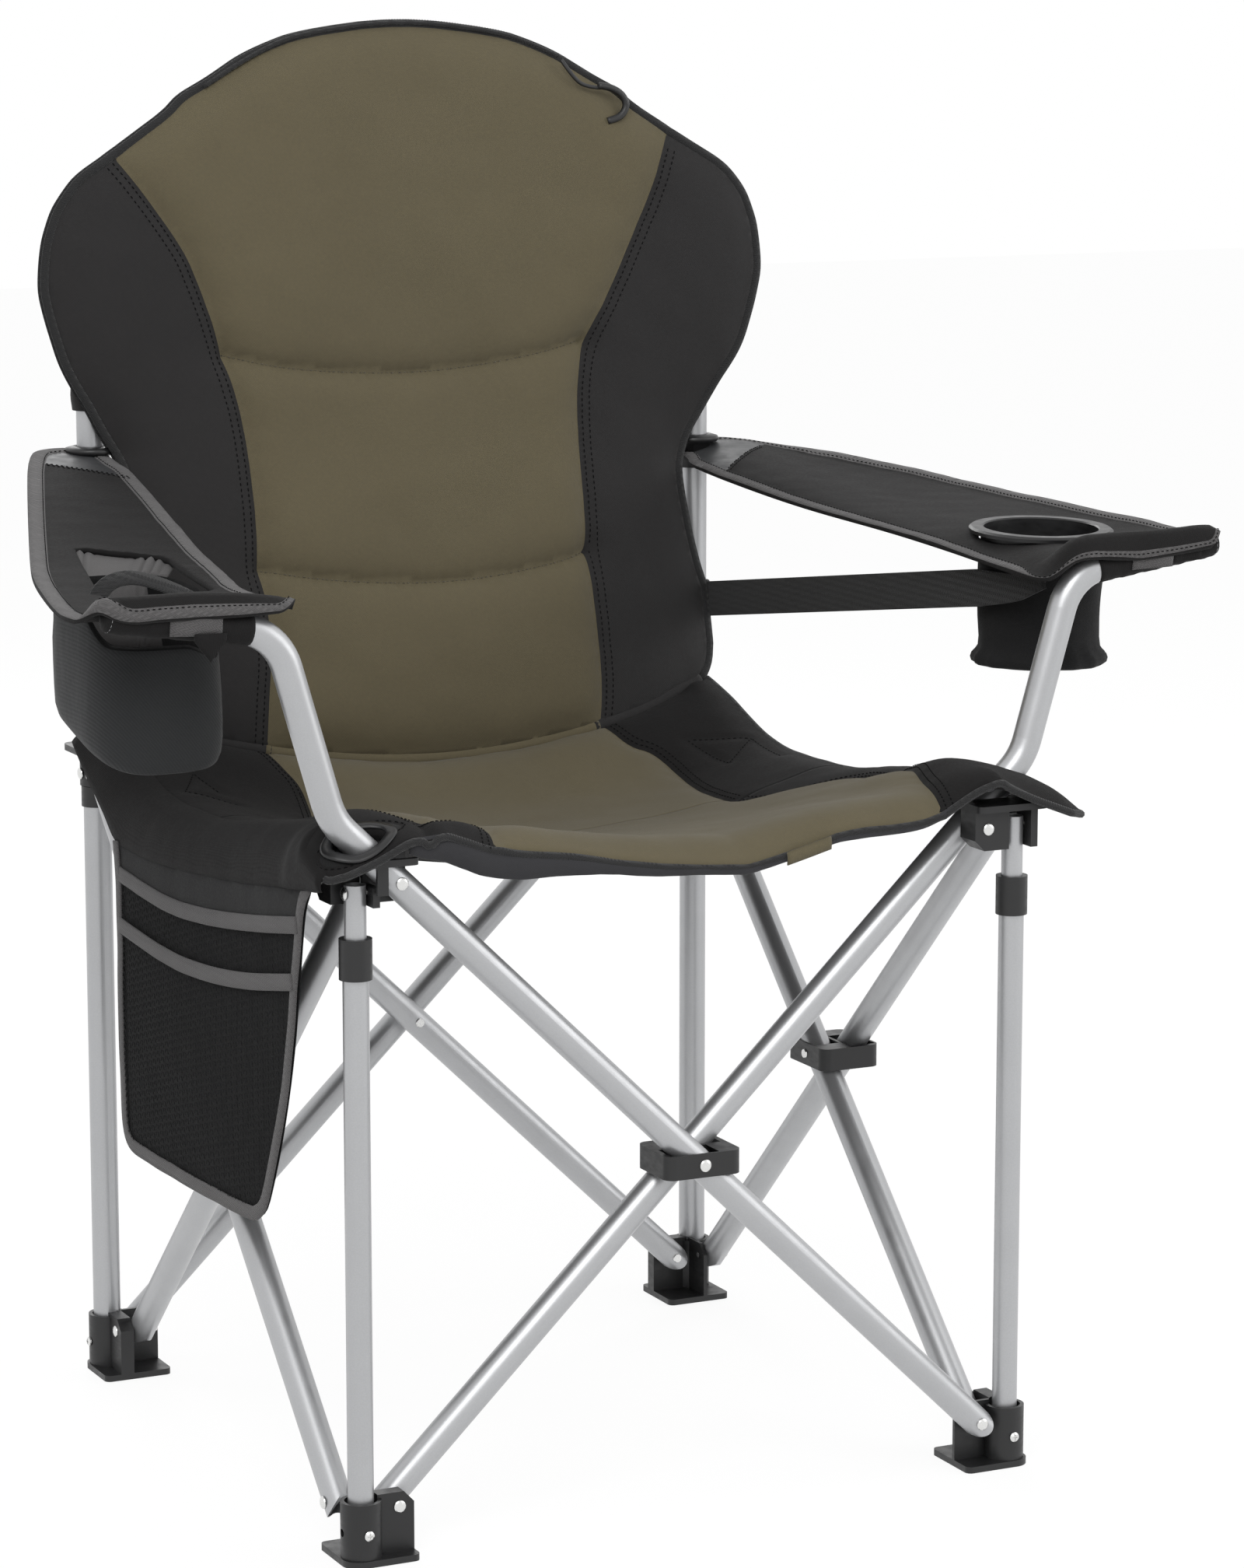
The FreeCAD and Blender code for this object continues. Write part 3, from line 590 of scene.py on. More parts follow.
# ---- back panel
BACK = [(0, 1087), (85, 1077), (115, 1067), (136, 1058), (151, 1049), (168, 1039), (190, 1028), (199, 1018),
    (226, 1000), (251, 983), (275, 968), (285, 955), (293, 943), (298, 930), (302, 918), (305, 893),
    (305, 880), (302, 867), (299, 855), (295, 842), (291, 829), (286, 817), (279, 803), (273, 793),
    (261, 767), (249.5, 749), (243, 732), (240, 717), (243, 697), (250, 664), (260, 631), (267, 612),
    (267, 544.5), (229, 536), (200, 526), (130, 512.8), (65, 504.8), (0, 501.7)]
BACK_Z = [470, 541, 600, 650, 700, 780, 900, 1000, 1095]
BACK_MID = [176, 191, 205, 219, 231, 246, 252, 260, 266]
BACK_SIDE = [205, 231, 244, 246, 245.8, 246.3, 247, 250, 255]
BACK_X = [0, 100, 200, 267, 310]
back_rows = [[m + (s - m) * min(1.0, x / 267.0) ** 2 for x in BACK_X] for m, s in zip(BACK_MID, BACK_SIDE)]
back_y = table(BACK_Z, [-x for x in BACK_X[:0:-1]] + BACK_X, [row[:0:-1] + row for row in back_rows])


def on_back(uv):
    x, z = uv.T
    return points(x, back_y(x, z), z)


SEAM_L = rounded([(-262, 1000), (-253, 989), (-228, 957), (-203, 922), (-190, 902), (-167, 841), (-153, 796),
    (-146, 757), (-142, 697), (-143, 656), (-138, 632), (-138, 590), (-146, 540), (-151, 490)])
SEAM_R = rounded([(236, 1000), (229, 983), (217, 947), (202, 917), (178, 867), (159, 834), (148, 800),
    (146, 745), (148, 681), (150, 622), (150, 584), (150, 546), (145, 507), (142, 488)])
CHAN_1 = rounded([(-161, 826), (-117, 815), (-72, 810), (-27, 807), (19, 807), (65, 811), (112, 818),
    (152, 827)])
CHAN_2 = rounded([(-141, 655), (-99, 646), (-55, 641), (-11, 638), (34, 638), (72, 641), (123, 648),
    (149, 655)])
SHOULDER = {-1: 4.0, 1: -10.0}


def shoulder(x, z):
    """The two sides of the back aren't alike between the arm rests and the top."""
    t = max(0.0, min(1.0, (z - 760) / 60.0)) * max(0.0, min(1.0, (1010 - z) / 60.0))
    return x + math.copysign(SHOULDER[1 if x > 0 else -1] * t, x) if x else x


both_sides = BACK + [(-x, z) for x, z in BACK[:0:-1] if x]
back_rim = rounded([(shoulder(x, z), z) for x, z in both_sides], 5.0, True, 2)
back_edge = looped(back_rim)
BACK_OLIVE = np.vstack([[(-262, 1120)], SEAM_L, [(-151, 440), (142, 440)], SEAM_R[::-1], [(236, 1120)]])
SEAM_GAP, PUFF_OLIVE, PUFF_BLACK = 3.0, 15.0, 7.0


def within(line, rim):
    return line[inside(line, rim) & (distance(line, rim) > SEAM_GAP)]


def back_extra(uv):
    near = bell(distance(uv, CHAN_1), 9) + bell(distance(uv, CHAN_2), 9)
    pucker = 0.9 * np.sin(uv[:, 0] / 1.9 + 2 * ripple(uv, 30.0, 3.0)) * near
    ds = np.minimum(distance(uv, SEAM_L), distance(uv, SEAM_R))
    pull = 0.3 * np.sin(uv[:, 1] / 4.1 + 4 * ripple(uv, 45.0, 5.0)) * bell(ds - 6, 7)
    return pucker + pull + 2.0 * ripple(uv, 90.0, 1.0) + 0.8 * ripple(uv, 28.0, 2.0)


back = Panel(on_back, 1, [back_edge], lambda uv: np.where(inside(uv, BACK_OLIVE), PUFF_OLIVE, PUFF_BLACK),
    16.0, [(CHAN_1, 7.0, 14.0), (CHAN_2, 7.0, 14.0), (CHAN_1, 3.0, 3.5), (CHAN_2, 3.0, 3.5),
    (SEAM_L, 1.2, 3.0), (SEAM_R, 1.2, 3.0)], back_extra, ([SEAM_L, SEAM_R], 5.0, 14.0))
on_top = onto("rl_top", ((1, 0, 0), (-S * MM, S * MM, 0.6)))
back_pad = back.build("back_pad", back_rim, [olive_back, black_back], lambda mid: ~inside(mid, BACK_OLIVE),
    lines=[within(SEAM_L, back_edge), within(SEAM_R, back_edge), CHAN_1, CHAN_2], step=5.0, thick=5.5,
    under=1)
on_top(back_pad, "olive_fabric", ["back"])

STITCHED = [(SEAM_L, -4.0), (SEAM_L, -10.0), (SEAM_R, 4.0), (SEAM_R, 10.0)]
on_top(dashes("back_stitches", [back.at(offset(line[4:-2], d)) for line, d in STITCHED], thread))
on_top(dashes("channel_stitches", [back.at(CHAN_1), back.at(CHAN_2)], olive_thread, 2.6, 1.4), "olive_fabric")

# post pockets behind the panel, closed like a fingertip
POCKET_Z, POCKET_N, POCKET_R, POCKET_TIP = (786, 951), 42, 14.6, 952.5
for sx, tag in ((-1, "left"), (1, "right")):
    zs = np.linspace(*POCKET_Z, POCKET_N)
    sec = []
    for z in zs:
        close = min(1.0, math.sqrt(max(0.0, (POCKET_TIP - z) / 8.0)))
        wob = 0.5 * math.sin(z / 9.0) + 0.35 * math.sin(z / 3.7)
        sec.append(circle(POCKET_R + wob, 20) * close)
    on_top(sweep("post_pocket_" + tag, points(sx * S, S, zs), sec, black_back, (0, -1, 0)))

# bound edge down to the seat, cloth tucked in along the seat, and the zip along the top
TUCK_Z, TUCK_R = 541, 6.5
sewn = back_rim[:, 1] > TUCK_Z
start = [i for i in range(len(sewn)) if sewn[i] and not sewn[i - 1]][0]
turned_rim = np.roll(back_rim, -start, 0)
bound, tuck = turned_rim[:int(sewn.sum())], looped(turned_rim)[int(sewn.sum()) - 1:]
TUCKS = [("l", tuck[:, 0] < -143, black_back, "black_fabric"), ("m", np.abs(tuck[:, 0] + 3) < 151, olive_back,
    "olive_fabric"), ("r", tuck[:, 0] > 138, black_back, "black_fabric")]
for tag, pick, mat, slot in TUCKS:
    path = back.at(tuck[pick], -3.0)[0] + [0, 1.0, -1.8]
    on_top(sweep("back_tuck_" + tag, path, circle(TUCK_R, 12), mat, (0, -1, 0)), slot)
TAPE = [(-4.5, 2.2), (-1.0, 3.0), (2.0, 2.2), (3.0, 0.0), (2.6, -3.4), (0.0, -5.4), (-4.5, -5.6),
    (-5.0, -4.6), (-0.5, -4.2), (0.6, -2.0), (0.3, 0.6), (-1.5, 1.4), (-4.6, 1.2)]
rim_pts, rim_n = back.at(bound, -1.5)
on_top(sweep("back_edge_tape", rim_pts, np.array(TAPE) * (-way_in(back_rim), 1), black_tape, rim_n))
ZIP = rounded([(-172, 1036), (-150, 1049), (-115, 1067), (-85, 1077), (0, 1087), (85, 1077), (115, 1067),
    (138, 1057)], 4.0)
zip_line = on_back(ZIP) + np.array([0, 3.0, 2.2])
on_top(sweep("back_zip_tape", zip_line, band(13.0, 3.2, 1.0), black_tape, (0, 0, 1)))
teeth = [(zip_line + np.array([0, -1.0, 1.4]), np.array([0, 0, 1.0]))]
on_top(dashes("back_zip_teeth", teeth, gloss_plastic, 1.7, 0.7, 0.8, 0.2), "black_plastic")
PULL = [(137, 250, 1056), (143, 246, 1046), (151, 245, 1037), (160, 245, 1034), (170, 245, 1033)]
on_top(sweep("zip_pull", rounded(PULL, 2.0), circle(1.7, 8), black_plastic), "black_plastic")
CLIP = [(168, 244, 1035), (180, 244, 1033), (190, 244, 1027), (194, 244, 1018), (188, 244, 1009),
    (176, 244, 1006)]
on_top(sweep("zip_clip", rounded(CLIP, 2.0), circle(3.0, 10), black_plastic), "black_plastic")

# ---- seat
SEAT_Y = [-300, -267, -240, -200, -140, -86, -22, 30, 111, 160, 195, 244]
SEAT_EDGE = [529, 538, 537, 532, 522, 514, 504, 501, 503, 515, 528, 541]
SEAT_SAG = [37, 40, 42, 44, 46, 47, 48, 48, 42, 31, 23, 20]
SEAT_X = [0, 65, 130, 190, 232, 262, 294, 322]
FRONT_Y = -292.0      # where the front edge hangs its band
HOOD_L = {-300: (532, 520, 508, 499), -267: (530, 528, 521, 508), -240: (533, 535, 529, 510),
    -200: (531, 533, 528, 516)}
HOOD_R = {-300: (534, 526, 513, 504), -267: (536, 531, 519, 505), -240: (536, 533, 523, 508),
    -200: (531, 533, 527, 514)}
FRONT_DX = [-250, -232, -222, -206, -190, -173, -146, -87, -38, 31, 70, 105, 160, 207, 240, 250]
FRONT_DZ = [0, 1, 4, 12, 14.5, 14, 12, 8, 2, -4, 2, 7, 6, 2, 0, 0]
seat_rows = []
for y, edge, sag in zip(SEAT_Y, SEAT_EDGE, SEAT_SAG):
    row = [edge - sag * (1 - (x / 268.0) ** 2) for x in SEAT_X]
    row[6:] = edge + 2, edge + 3
    seat_rows.append(list(HOOD_L.get(y, row[4:]))[::-1] + row[3:0:-1] + row[:4]
        + list(HOOD_R.get(y, row[4:])))
seat_z = table(SEAT_Y, [-x for x in SEAT_X[:0:-1]] + SEAT_X, seat_rows)


def on_seat(uv):
    x, y = uv.T
    front = np.interp(x, FRONT_DX, FRONT_DZ) * np.exp(-np.maximum(0, y - FRONT_Y) / 70.0)
    return points(x, y, seat_z(x, y) + front)


RIGHT_SEAM = rounded([(146, 215), (154, 165), (174, 150), (177, 112), (172, 60), (171, 7), (180, -28),
    (205, -48), (229, -72), (237, -120), (230, -180), (208, -236), (198, -274), (192, -294)])
LEFT_SEAM = rounded([(-150, 215), (-147, 180), (-138, 152), (-146, 112), (-164, 60), (-171, 7), (-180, -28),
    (-205, -48), (-229, -72), (-237, -120), (-234, -180), (-222, -222), (-214, -242), (-212, -259),
    (-198, -252), (-182, -247), (-168, -252), (-165, -264), (-168, -280), (-172, -299)])
FRONT_EDGE = [(0, -292), (200, -293), (240, -298), (301, -299), (318, -285), (321, -262), (300, -232),
    (268, -212)]
REAR_EDGE = [(268, 243.5), (229, 243.5), (226, 224), (200, 210), (130, 194), (65, 186.5), (0, 183.5)]
LEFT_EDGE = [(-268, -212), (-292, -232), (-303, -254), (-304, -280), (-298, -294), (-286, -297), (-240, -296),
    (-200, -293)]
rim_line = LEFT_EDGE + FRONT_EDGE
rear_line = REAR_EDGE + [(-x, y) for x, y in REAR_EDGE[-2::-1]]
seat_rim = looped(rim_line + rear_line)
SEAT_OLIVE = np.vstack([RIGHT_SEAM, [(192, -320), (-173, -320)], LEFT_SEAM[::-1], [(-150, 260), (146, 260)]])
PATCH = [(-300, -276), (-286, -262), (-252, -254), (-226, -258), (-236, -274), (-262, -289), (-290, -290)]
patch_rim = rounded(PATCH, 3.0, True, 3)
patch_line = looped(patch_rim)
TRI_L = [[(-232, 150), (-252, 112), (-215, 88)], [(-232, 150), (-222, 118)]]
TRI_R = [[(204, 152), (216, 96), (252, 128), (204, 152)], [(252, 128), (252, 74)]]
on_half = {half: onto("seat_%s_half" % half, ((1, 0, 0), (-S * MM, 0, 0.5))) for half in ("front", "rear")}
NOTCH = np.array([(-223, -300), (-213, -262)], float)


def seat_extra(uv):
    x, y = uv.T
    corner = 3.0 * bell(x + 182, 30) * bell(y + 264, 26) - 5.0 * bell(distance(uv, NOTCH), 4.5)
    corner = corner + 5.0 * np.exp(-np.abs(x - 239) / 7.0) * bell(y + 295, 24.0)
    lines = np.min([distance(uv, np.array(l, float)) for l in TRI_L + TRI_R], 0)
    ds = np.minimum(distance(uv, RIGHT_SEAM), distance(uv, LEFT_SEAM))
    pull = 0.25 * np.sin((y + x) / 4.3 + 4 * ripple(uv, 45.0, 8.0)) * bell(ds - 6, 7)
    return corner - 1.6 * bell(lines, 5.0) + pull + 1.6 * ripple(uv, 85.0, 6.0) + 0.8 * ripple(uv, 30.0, 7.0)


seat = Panel(on_seat, 1, [seat_rim], lambda uv: np.where(inside(uv, SEAT_OLIVE), 13.0, 8.0), 15.0,
    [(RIGHT_SEAM, 1.0, 3.0), (LEFT_SEAM, 1.0, 3.0), (patch_line, 1.2, 2.5)], seat_extra,
    ([RIGHT_SEAM, LEFT_SEAM], 5.0, 13.0))


def seat_region(mid):
    return np.where(inside(mid, patch_rim), 2, np.where(inside(mid, SEAT_OLIVE), 0, 1))


HALF = {"front": rim_line + [(268, 0), (-268, 0)], "rear": [(-268, 0), (268, 0)] + rear_line}
GROMMET = (-266.0, -273.5)       # where the left arm tube comes through
arm_hole = circle(20.0, 24, 13.0, GROMMET)
for half, outline in HALF.items():
    front = half == "front"
    seams = [line[line[:, 1] < -1.0] if front else line[line[:, 1] > 1.0] for line in (RIGHT_SEAM, LEFT_SEAM)]
    ob = seat.build("seat_pad_" + half, outline, [olive_seat, black_seat, black_side], seat_region,
        holes=[arm_hole] if front else (), lines=[within(line, seat_rim) for line in seams
        + ([patch_line] if front else [])], step=5.0, thick=5.0, under=1)
    for e in ob.data.edges:       # a hard edge where the two halves meet
        a, b = (ob.data.vertices[i].co for i in e.vertices)
        e.use_edge_sharp = abs(a.y) < 1e-6 and abs(b.y) < 1e-6
    on_half[half](ob, "black_fabric", ["seat_" + half])
    runs = [seat.at(offset(line, side * d)) for line, side in zip(seams, (1, -1)) for d in (4.0, 9.0)]
    runs += [seat.at(offset(patch_rim, 2.5, True))] if front else [seat.at(resample(l, 3.0)) for l in TRI_L
        + TRI_R]
    on_half[half](dashes("seat_stitches_" + half, runs, thread))

# rolled hem along the front and the right; the skirt hangs from the left
front_run = resample(rim_line, 4.0)
low = front_run[:, 1] < -286
HEM = {"front": np.vstack([front_run[low][:1], front_run[low | (front_run[:, 0] > 0)][1:],
    resample([(268, -212), (268, -1)], 4.0)[1:]]), "rear": resample([(268, 1), (268, 243)], 4.0)}
for half, line in HEM.items():
    p, n = seat.at(line, -2.0)
    on_half[half](sweep("seat_hem_" + half, p, circle(3.0, 8), black_tape, n))

# dark band that hangs under the front edge, and the olive end of the cloth wrapped over it
BAND_N, WRAP_N = 96, 13
BAND_X = [-239, -227, -206, -183, -146, -72, -9, 31, 105, 207, 236]
BAND_DROP = [8, 15, 21, 22, 20, 10, 6, 6, 6, 6, 5]
bx = np.linspace(-236, 236, BAND_N)
verts = []
for (x, y, z), d in zip(on_seat(points(bx, FRONT_Y)), np.interp(bx, BAND_X, BAND_DROP)):
    w = 0.6 * math.sin(x / 7.0) + 0.4 * math.sin(x / 2.9)
    verts += [(x, y - 1.2, z), (x, y - 3.0 + w * 0.3, z - d * 0.45), (x, y - 1.0 + w * 0.5, z - d),
        (x, y + 1.2 + w * 0.5, z - d - 0.6), (x, y + 3.0, z - d * 0.5), (x, y + 4.0, z - 1.5)]
on_half["front"](make("seat_front_band", verts, quads(BAND_N, 6) + caps(BAND_N, 6), [band_cloth]))
wrap_top = on_seat(points(np.linspace(62, 98, WRAP_N), FRONT_Y))
verts = [(x, y + dy, z + dz) for dy, dz in ((-3.4, 2.0), (-4.6, -2.5), (-4.0, -8.0), (-2.6, -8.0),
    (-3.0, -2.5), (-2.0, 1.0)) for x, y, z in wrap_top]
faces = quads(6, WRAP_N, True, False) + [tuple(r * WRAP_N + end for r in range(6)) for end in (0, WRAP_N - 1)]
on_half["front"](make("seat_front_wrap", verts, faces, [olive_seat]), "olive_fabric")

# oval grommet round the left arm tube
p, n = seat.at(circle(24.0, 40, 16.5, GROMMET), 0.6)
on_half["front"](sweep("arm_grommet", p, band(9.0, 3.6, 1.4), gloss_plastic, n, True), "black_plastic")

# ---- arm rests
REST_Y = [-290, -205, -125, -50, 50, 150, 235, 285]
REST_Z = [694.0, 697.0, 700.5, 704.5, 711, 722, 734, 741]
REST_X = [240, 290, 340, 400, 480]
PLAN_R = [(252, 280), (252, 244), (246, 234), (259, 99), (270, -13), (281, -119), (287, -200), (292, -252),
    (304, -264), (430, -264), (449, -264), (460, -243), (462, -205), (456, -140), (444, -82), (423, 40),
    (395, 150), (333, 254), (304, 281)]
PLAN_L = [(258, 280), (258, 240), (254, 200), (267, 101), (279, 24), (302, -119), (318, -190), (307, -220),
    (305, -252), (318, -288), (345, -289), (405, -289), (447, -289), (461, -282), (469, -264), (471, -234),
    (461, -179), (442, -96), (418, -20), (359, 156), (322, 262), (304, 281)]
CUP, CUP_R = (361.0, -146.0), 49.0
TUBE_Y = {True: -273.5, False: -248.0}
HEM_R = 15.7
LIP = {True: (((300, 327, 357, 421, 438, 452, 475), (697.5, 697.5, 697, 697, 696, 695.5, 698)),
    ((305, 330, 358, 392, 424, 450), (703.5, 706, 709.5, 711.5, 711.5, 712))),
    False: (((280, 293, 310, 340, 378, 409, 433, 445, 460), (685, 688.7, 692.5, 695.5, 692.7, 695, 697.5, 699,
    700)), ((300, 340, 378, 409, 433, 450), (699, 709, 710.5, 710.5, 711.5, 711)))}


def turned(prof, centre, seg, wobble=lambda a, z: 0.0):
    """Points of a turned shape, ring by ring along its (radius, height) profile."""
    return np.vstack([points(*circle(r + wobble(angles(seg), z), seg, centre=centre).T, z) for r, z in prof])


def tape_width(left, uv):
    """Width of the sewn edge tape, seen from above: it's nearly upright over the arm tube."""
    x, y = np.abs(uv[:, 0]), uv[:, 1]
    if left:
        return 13.0 - 7.4 * smooth(-226, -262, y) * (1 - smooth(436, 458, x))
    return 9.5 - 6.6 * smooth(-222, -252, y)


def rest_place(left):
    lift, droop, dip = (12.0, 0.0, 0.0) if left else (-2.0, 12.0, 2.4)
    rows = []
    for y, z in zip(REST_Y, REST_Z):
        rise = lift * max(0.0, (y + 50) / 285.0)
        near = droop * math.exp(-(290 - (244 + 0.1 * (246 - y))) / 18.0)
        rows.append([z + rise - droop, z + rise - near, z + rise - dip, z + rise - dip / 3, z + rise + 2.0])
    t = table(REST_Y, REST_X, rows)
    span = (300, 316, 452, 472) if left else (300, 332, 450, 468)      # where the hem begins and ends

    def place(uv):
        """The cloth, going over the arm tube at the front and down its front side."""
        x, y = np.abs(uv[:, 0]), uv[:, 1]
        z = t(x, y)
        low, crest = (np.interp(x, *LIP[left][k]) for k in (0, 1))
        bulge = low + (crest - low) * np.clip(1 - ((y - TUBE_Y[left]) / HEM_R) ** 2, 0, 1)
        over = np.where(y < TUBE_Y[left], bulge, 0.5 * (z + bulge + np.sqrt((z - bulge) ** 2 + 9.0)))
        w = smooth(*span[:2], x) * (1 - smooth(*span[2:], x))
        return points(uv[:, 0], y, z + w * (over - z))
    return place


HEM_FOOT, HEM_TIP, HEM_N, HEM_ROUND = np.array([327.0, 682.5]), np.array([450.0, 700.0]), 34, 11.7
POST_DISC = [(11.6, 0), (15.2, 0), (14.9, 20), (19.4, 21.4), (20.6, 22.6), (20.8, 24.6), (20.0, 26.0),
    (14.5, 27.6), (11.8, 27.4)]
DISC_Z = {True: 734.0 + 12.0 - 16, False: 734.0 - 2.0 - 16}
TAB_N, TAB_ROWS = 9, 4
on_rest = {sx: onto(body, ((0, 1, 0), (sx * S * MM, S * MM, 0.72))) for sx, body in ((-1, "left_arm_cloth"),
    (1, "right_arm_cloth"))}
for left in (True, False):
    sx, tag = (-1, "left") if left else (1, "right")
    on_arm, y_arm = on_rest[sx], TUBE_Y[left]
    plan = rounded([(sx * x, y) for x, y in (PLAN_L if left else PLAN_R)], 4.0, True, 2)
    rim = looped(plan)
    inner = offset(plan, way_in(plan) * tape_width(left, plan)[:, None], True)
    if left:
        hole = clipped([(-374, 8), (-320, -42), (-336, -185), (-424, -192)], 7.0)
    else:
        hole = circle(CUP_R, 48, centre=CUP)

    def rest_extra(uv, rim=rim, left=left):
        d = distance(uv, rim)
        width = tape_width(left, uv)
        step_up = 0.9 / (1 + np.exp((d - width) / 0.6))
        h = step_up + 1.2 * ripple(uv, 70.0, 11.0 + left) + 0.5 * ripple(uv, 22.0, 12.0 + left)
        h = h - 0.8 * bell(d - width, 1.6)
        if not left:      # the outer edge stands up a little, more towards the tip
            x, y = uv.T
            outer_side = smooth(0.0, 1.0, (x - 300 - 0.35 * (250 - y)) / 40.0 + 0.5)
            rise = (3.0 + 1.2 * smooth(-200, -60, y)) * smooth(270, 200, y)
            h = h + outer_side * rise * np.clip(1 - d / 14.0, 0, 1)
        return h

    rest = Panel(rest_place(left), 1, [rim], 1.6, 7.0, (), rest_extra)

    def rest_region(mid, rim=rim, left=left):
        x, y = np.abs(mid[:, 0]), mid[:, 1]
        cloth = np.where(y > 183 + 0.86 * (x - 250), 2, 1)
        return np.where(distance(mid, rim) < tape_width(left, mid), 0, cloth)

    cross = resample([(sx * 262, 193), (sx * 318, 241)], 3.0)
    ob = rest.build("arm_rest_" + tag, plan, [grey_tape, black_seat, vinyl], rest_region, holes=[hole],
        lines=[looped(inner)], step=4.0, thick=3.0, under=1, rim_thick=0.8)
    on_arm(ob, "black_fabric", ["armrest_" + tag])
    edge_run = rest.at(offset(plan, way_in(plan) * (tape_width(left, plan) - 1.4)[:, None], True))
    on_arm(dashes("arm_stitches_" + tag, [edge_run, rest.at(cross), rest.at(cross + [0, -4.0])], thread, 2.6,
        1.6))
    # hem round the end of the arm tube
    d = unit(HEM_TIP - HEM_FOOT)
    a0, a1 = HEM_FOOT + d * 20, HEM_TIP + d * 5.5
    ts = np.linspace(0, 1, HEM_N)
    path = points(sx * (a0[0] + (a1[0] - a0[0]) * ts), y_arm, a0[1] + (a1[1] - a0[1]) * ts)
    sec = []
    for t in ts:
        end = min(1.0, math.sqrt(max(0.0, (1.0 - t) / 0.04)) if t > 0.96 else 1.0)
        wob = 0.25 * math.sin(t * 31) + 0.2 * math.sin(t * 67)
        sec.append(circle(HEM_ROUND + wob, 18) * end)
    on_arm(sweep("arm_hem_" + tag, path, sec, black_seat, (0, 0, 1)))
    # loose flap and webbing tabs sewn under the hem: from x to x, top, length, cloth
    tabs = ([(-409, -371, 698, 13.5, grey_tape), (-392, -368, 686, 20, black_seat)] if left
        else [(374, 409, 695, 11.0, grey_tape), (410, 434, 696, 8.5, black_seat)])
    for i, (x0, x1, head, drop, mat) in enumerate(tabs):
        xm = np.linspace(x0, x1, TAB_N)
        taper = np.ones(TAB_N) if mat is grey_tape else 1 - 0.75 * np.abs(np.linspace(-1, 1, TAB_N)) * left
        verts = []
        for side in (0, 1.6):
            for f in (0.0, 1 / 3.0, 2 / 3.0, 1.0):
                yy = y_arm - 13.9 + side + 1.5 * f + 0.8 * np.sin(xm / 6.0 + f)
                verts += list(zip(xm, yy, head - drop * f * taper + 0.03 * (np.abs(xm) - 390)))
        on_arm(make("arm_tab_%s_%d" % (tag, i), verts, shell(TAB_ROWS, TAB_N), [mat]))
    # plastic disc and collar round the back post
    verts = turned([(r, DISC_Z[left] + h) for r, h in POST_DISC], (sx * S, S), 40)
    on_arm(make("arm_collar_" + tag, verts, quads(len(POST_DISC), 40, True), [black_plastic]),
        "black_plastic")

# pleated cloth inside the window of the left arm rest, and the webbing handle over it
PLEAT_N, PLEAT_ROWS = 49, 15
# left and right end
PLEAT_TOP, PLEAT_LOW = ((-386.0, 20.0), (-310.0, -38.0)), ((-421.0, -78.0), (-336.0, -78.0))
verts = []
for side in (0.0, -1.4):
    for f in np.arange(PLEAT_ROWS) / (PLEAT_ROWS - 1):
        for u in np.arange(PLEAT_N) / (PLEAT_N - 1):
            head_xy, foot_xy = (np.array(a) * (1 - u) + np.array(b) * u for a, b in (PLEAT_TOP, PLEAT_LOW))
            x, y = head_xy * (1 - f) + foot_xy * f
            pleat = bell(u - 0.18, 0.12) + bell(u - 0.80, 0.12)
            rib = pleat * 3.4 * abs(math.sin(u * math.pi * 12))
            head = 708.5 - 4.5 * u
            z = head - (head - 697.0) * min(1.0, f / 0.8) - 58.0 * max(0.0, f - 0.8) / 0.2
            verts.append((x, y + side - rib * 0.5, z + side + rib))
on_rest[-1](make("window_pleats", verts, shell(PLEAT_ROWS, PLEAT_N), [pleat_cloth]))
HANDLE = [(-426, -175, 690), (-422, -173, 698), (-412, -169, 709), (-395, -167, 712), (-376, -167, 707),
    (-356, -169, 698), (-346, -171, 692)]
on_rest[-1](sweep("window_handle", rounded(HANDLE, 3.0), band(12.5, 1.8, 0.6), black_tape, (0.0, -0.72, 0.7)),
    "webbing")


# ---- cup pouch
def pouch_wobble(a, z):
    low = bell(z - 605.0, 9.0) * np.sin(a * 17) * np.cos(a * 2)
    return 0.9 * np.sin(a * 3 + z / 25.0) + 0.5 * np.sin(a * 7 + z / 11.0) + 1.4 * low


# radius and height, up to down outside and then back up inside
POUCH = [(47.6, 688), (49.0, 688.8), (49.6, 687), (49.0, 675), (48.0, 655), (47.2, 635), (46.6, 620),
    (47.2, 613), (49.5, 609.5), (52.0, 607), (53.0, 604), (52.3, 600.8), (49.8, 599.2), (46.5, 599.6),
    (30.0, 600.4), (6.0, 600.6), (6.0, 603.6), (30, 603.8), (43.0, 604.2), (44.8, 608), (45.2, 620),
    (45.8, 640), (46.8, 665), (47.6, 688)]
faces = quads(len(POUCH), 72) + caps(len(POUCH), 72)
pouch = make("cup_pouch_cloth", turned(POUCH, CUP, 72, pouch_wobble), faces, [black_side])
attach(pouch, "cup_holder")
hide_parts("cup_pouch")

# ---- cooler bag
BAG_C, BAG_H, BAG_N, BAG_WALL = (-378.0, -133.0), (51.5, 72.5), 80, 2.6
CORNER = 2.0 / 3.2      # how square the bag is, seen from above


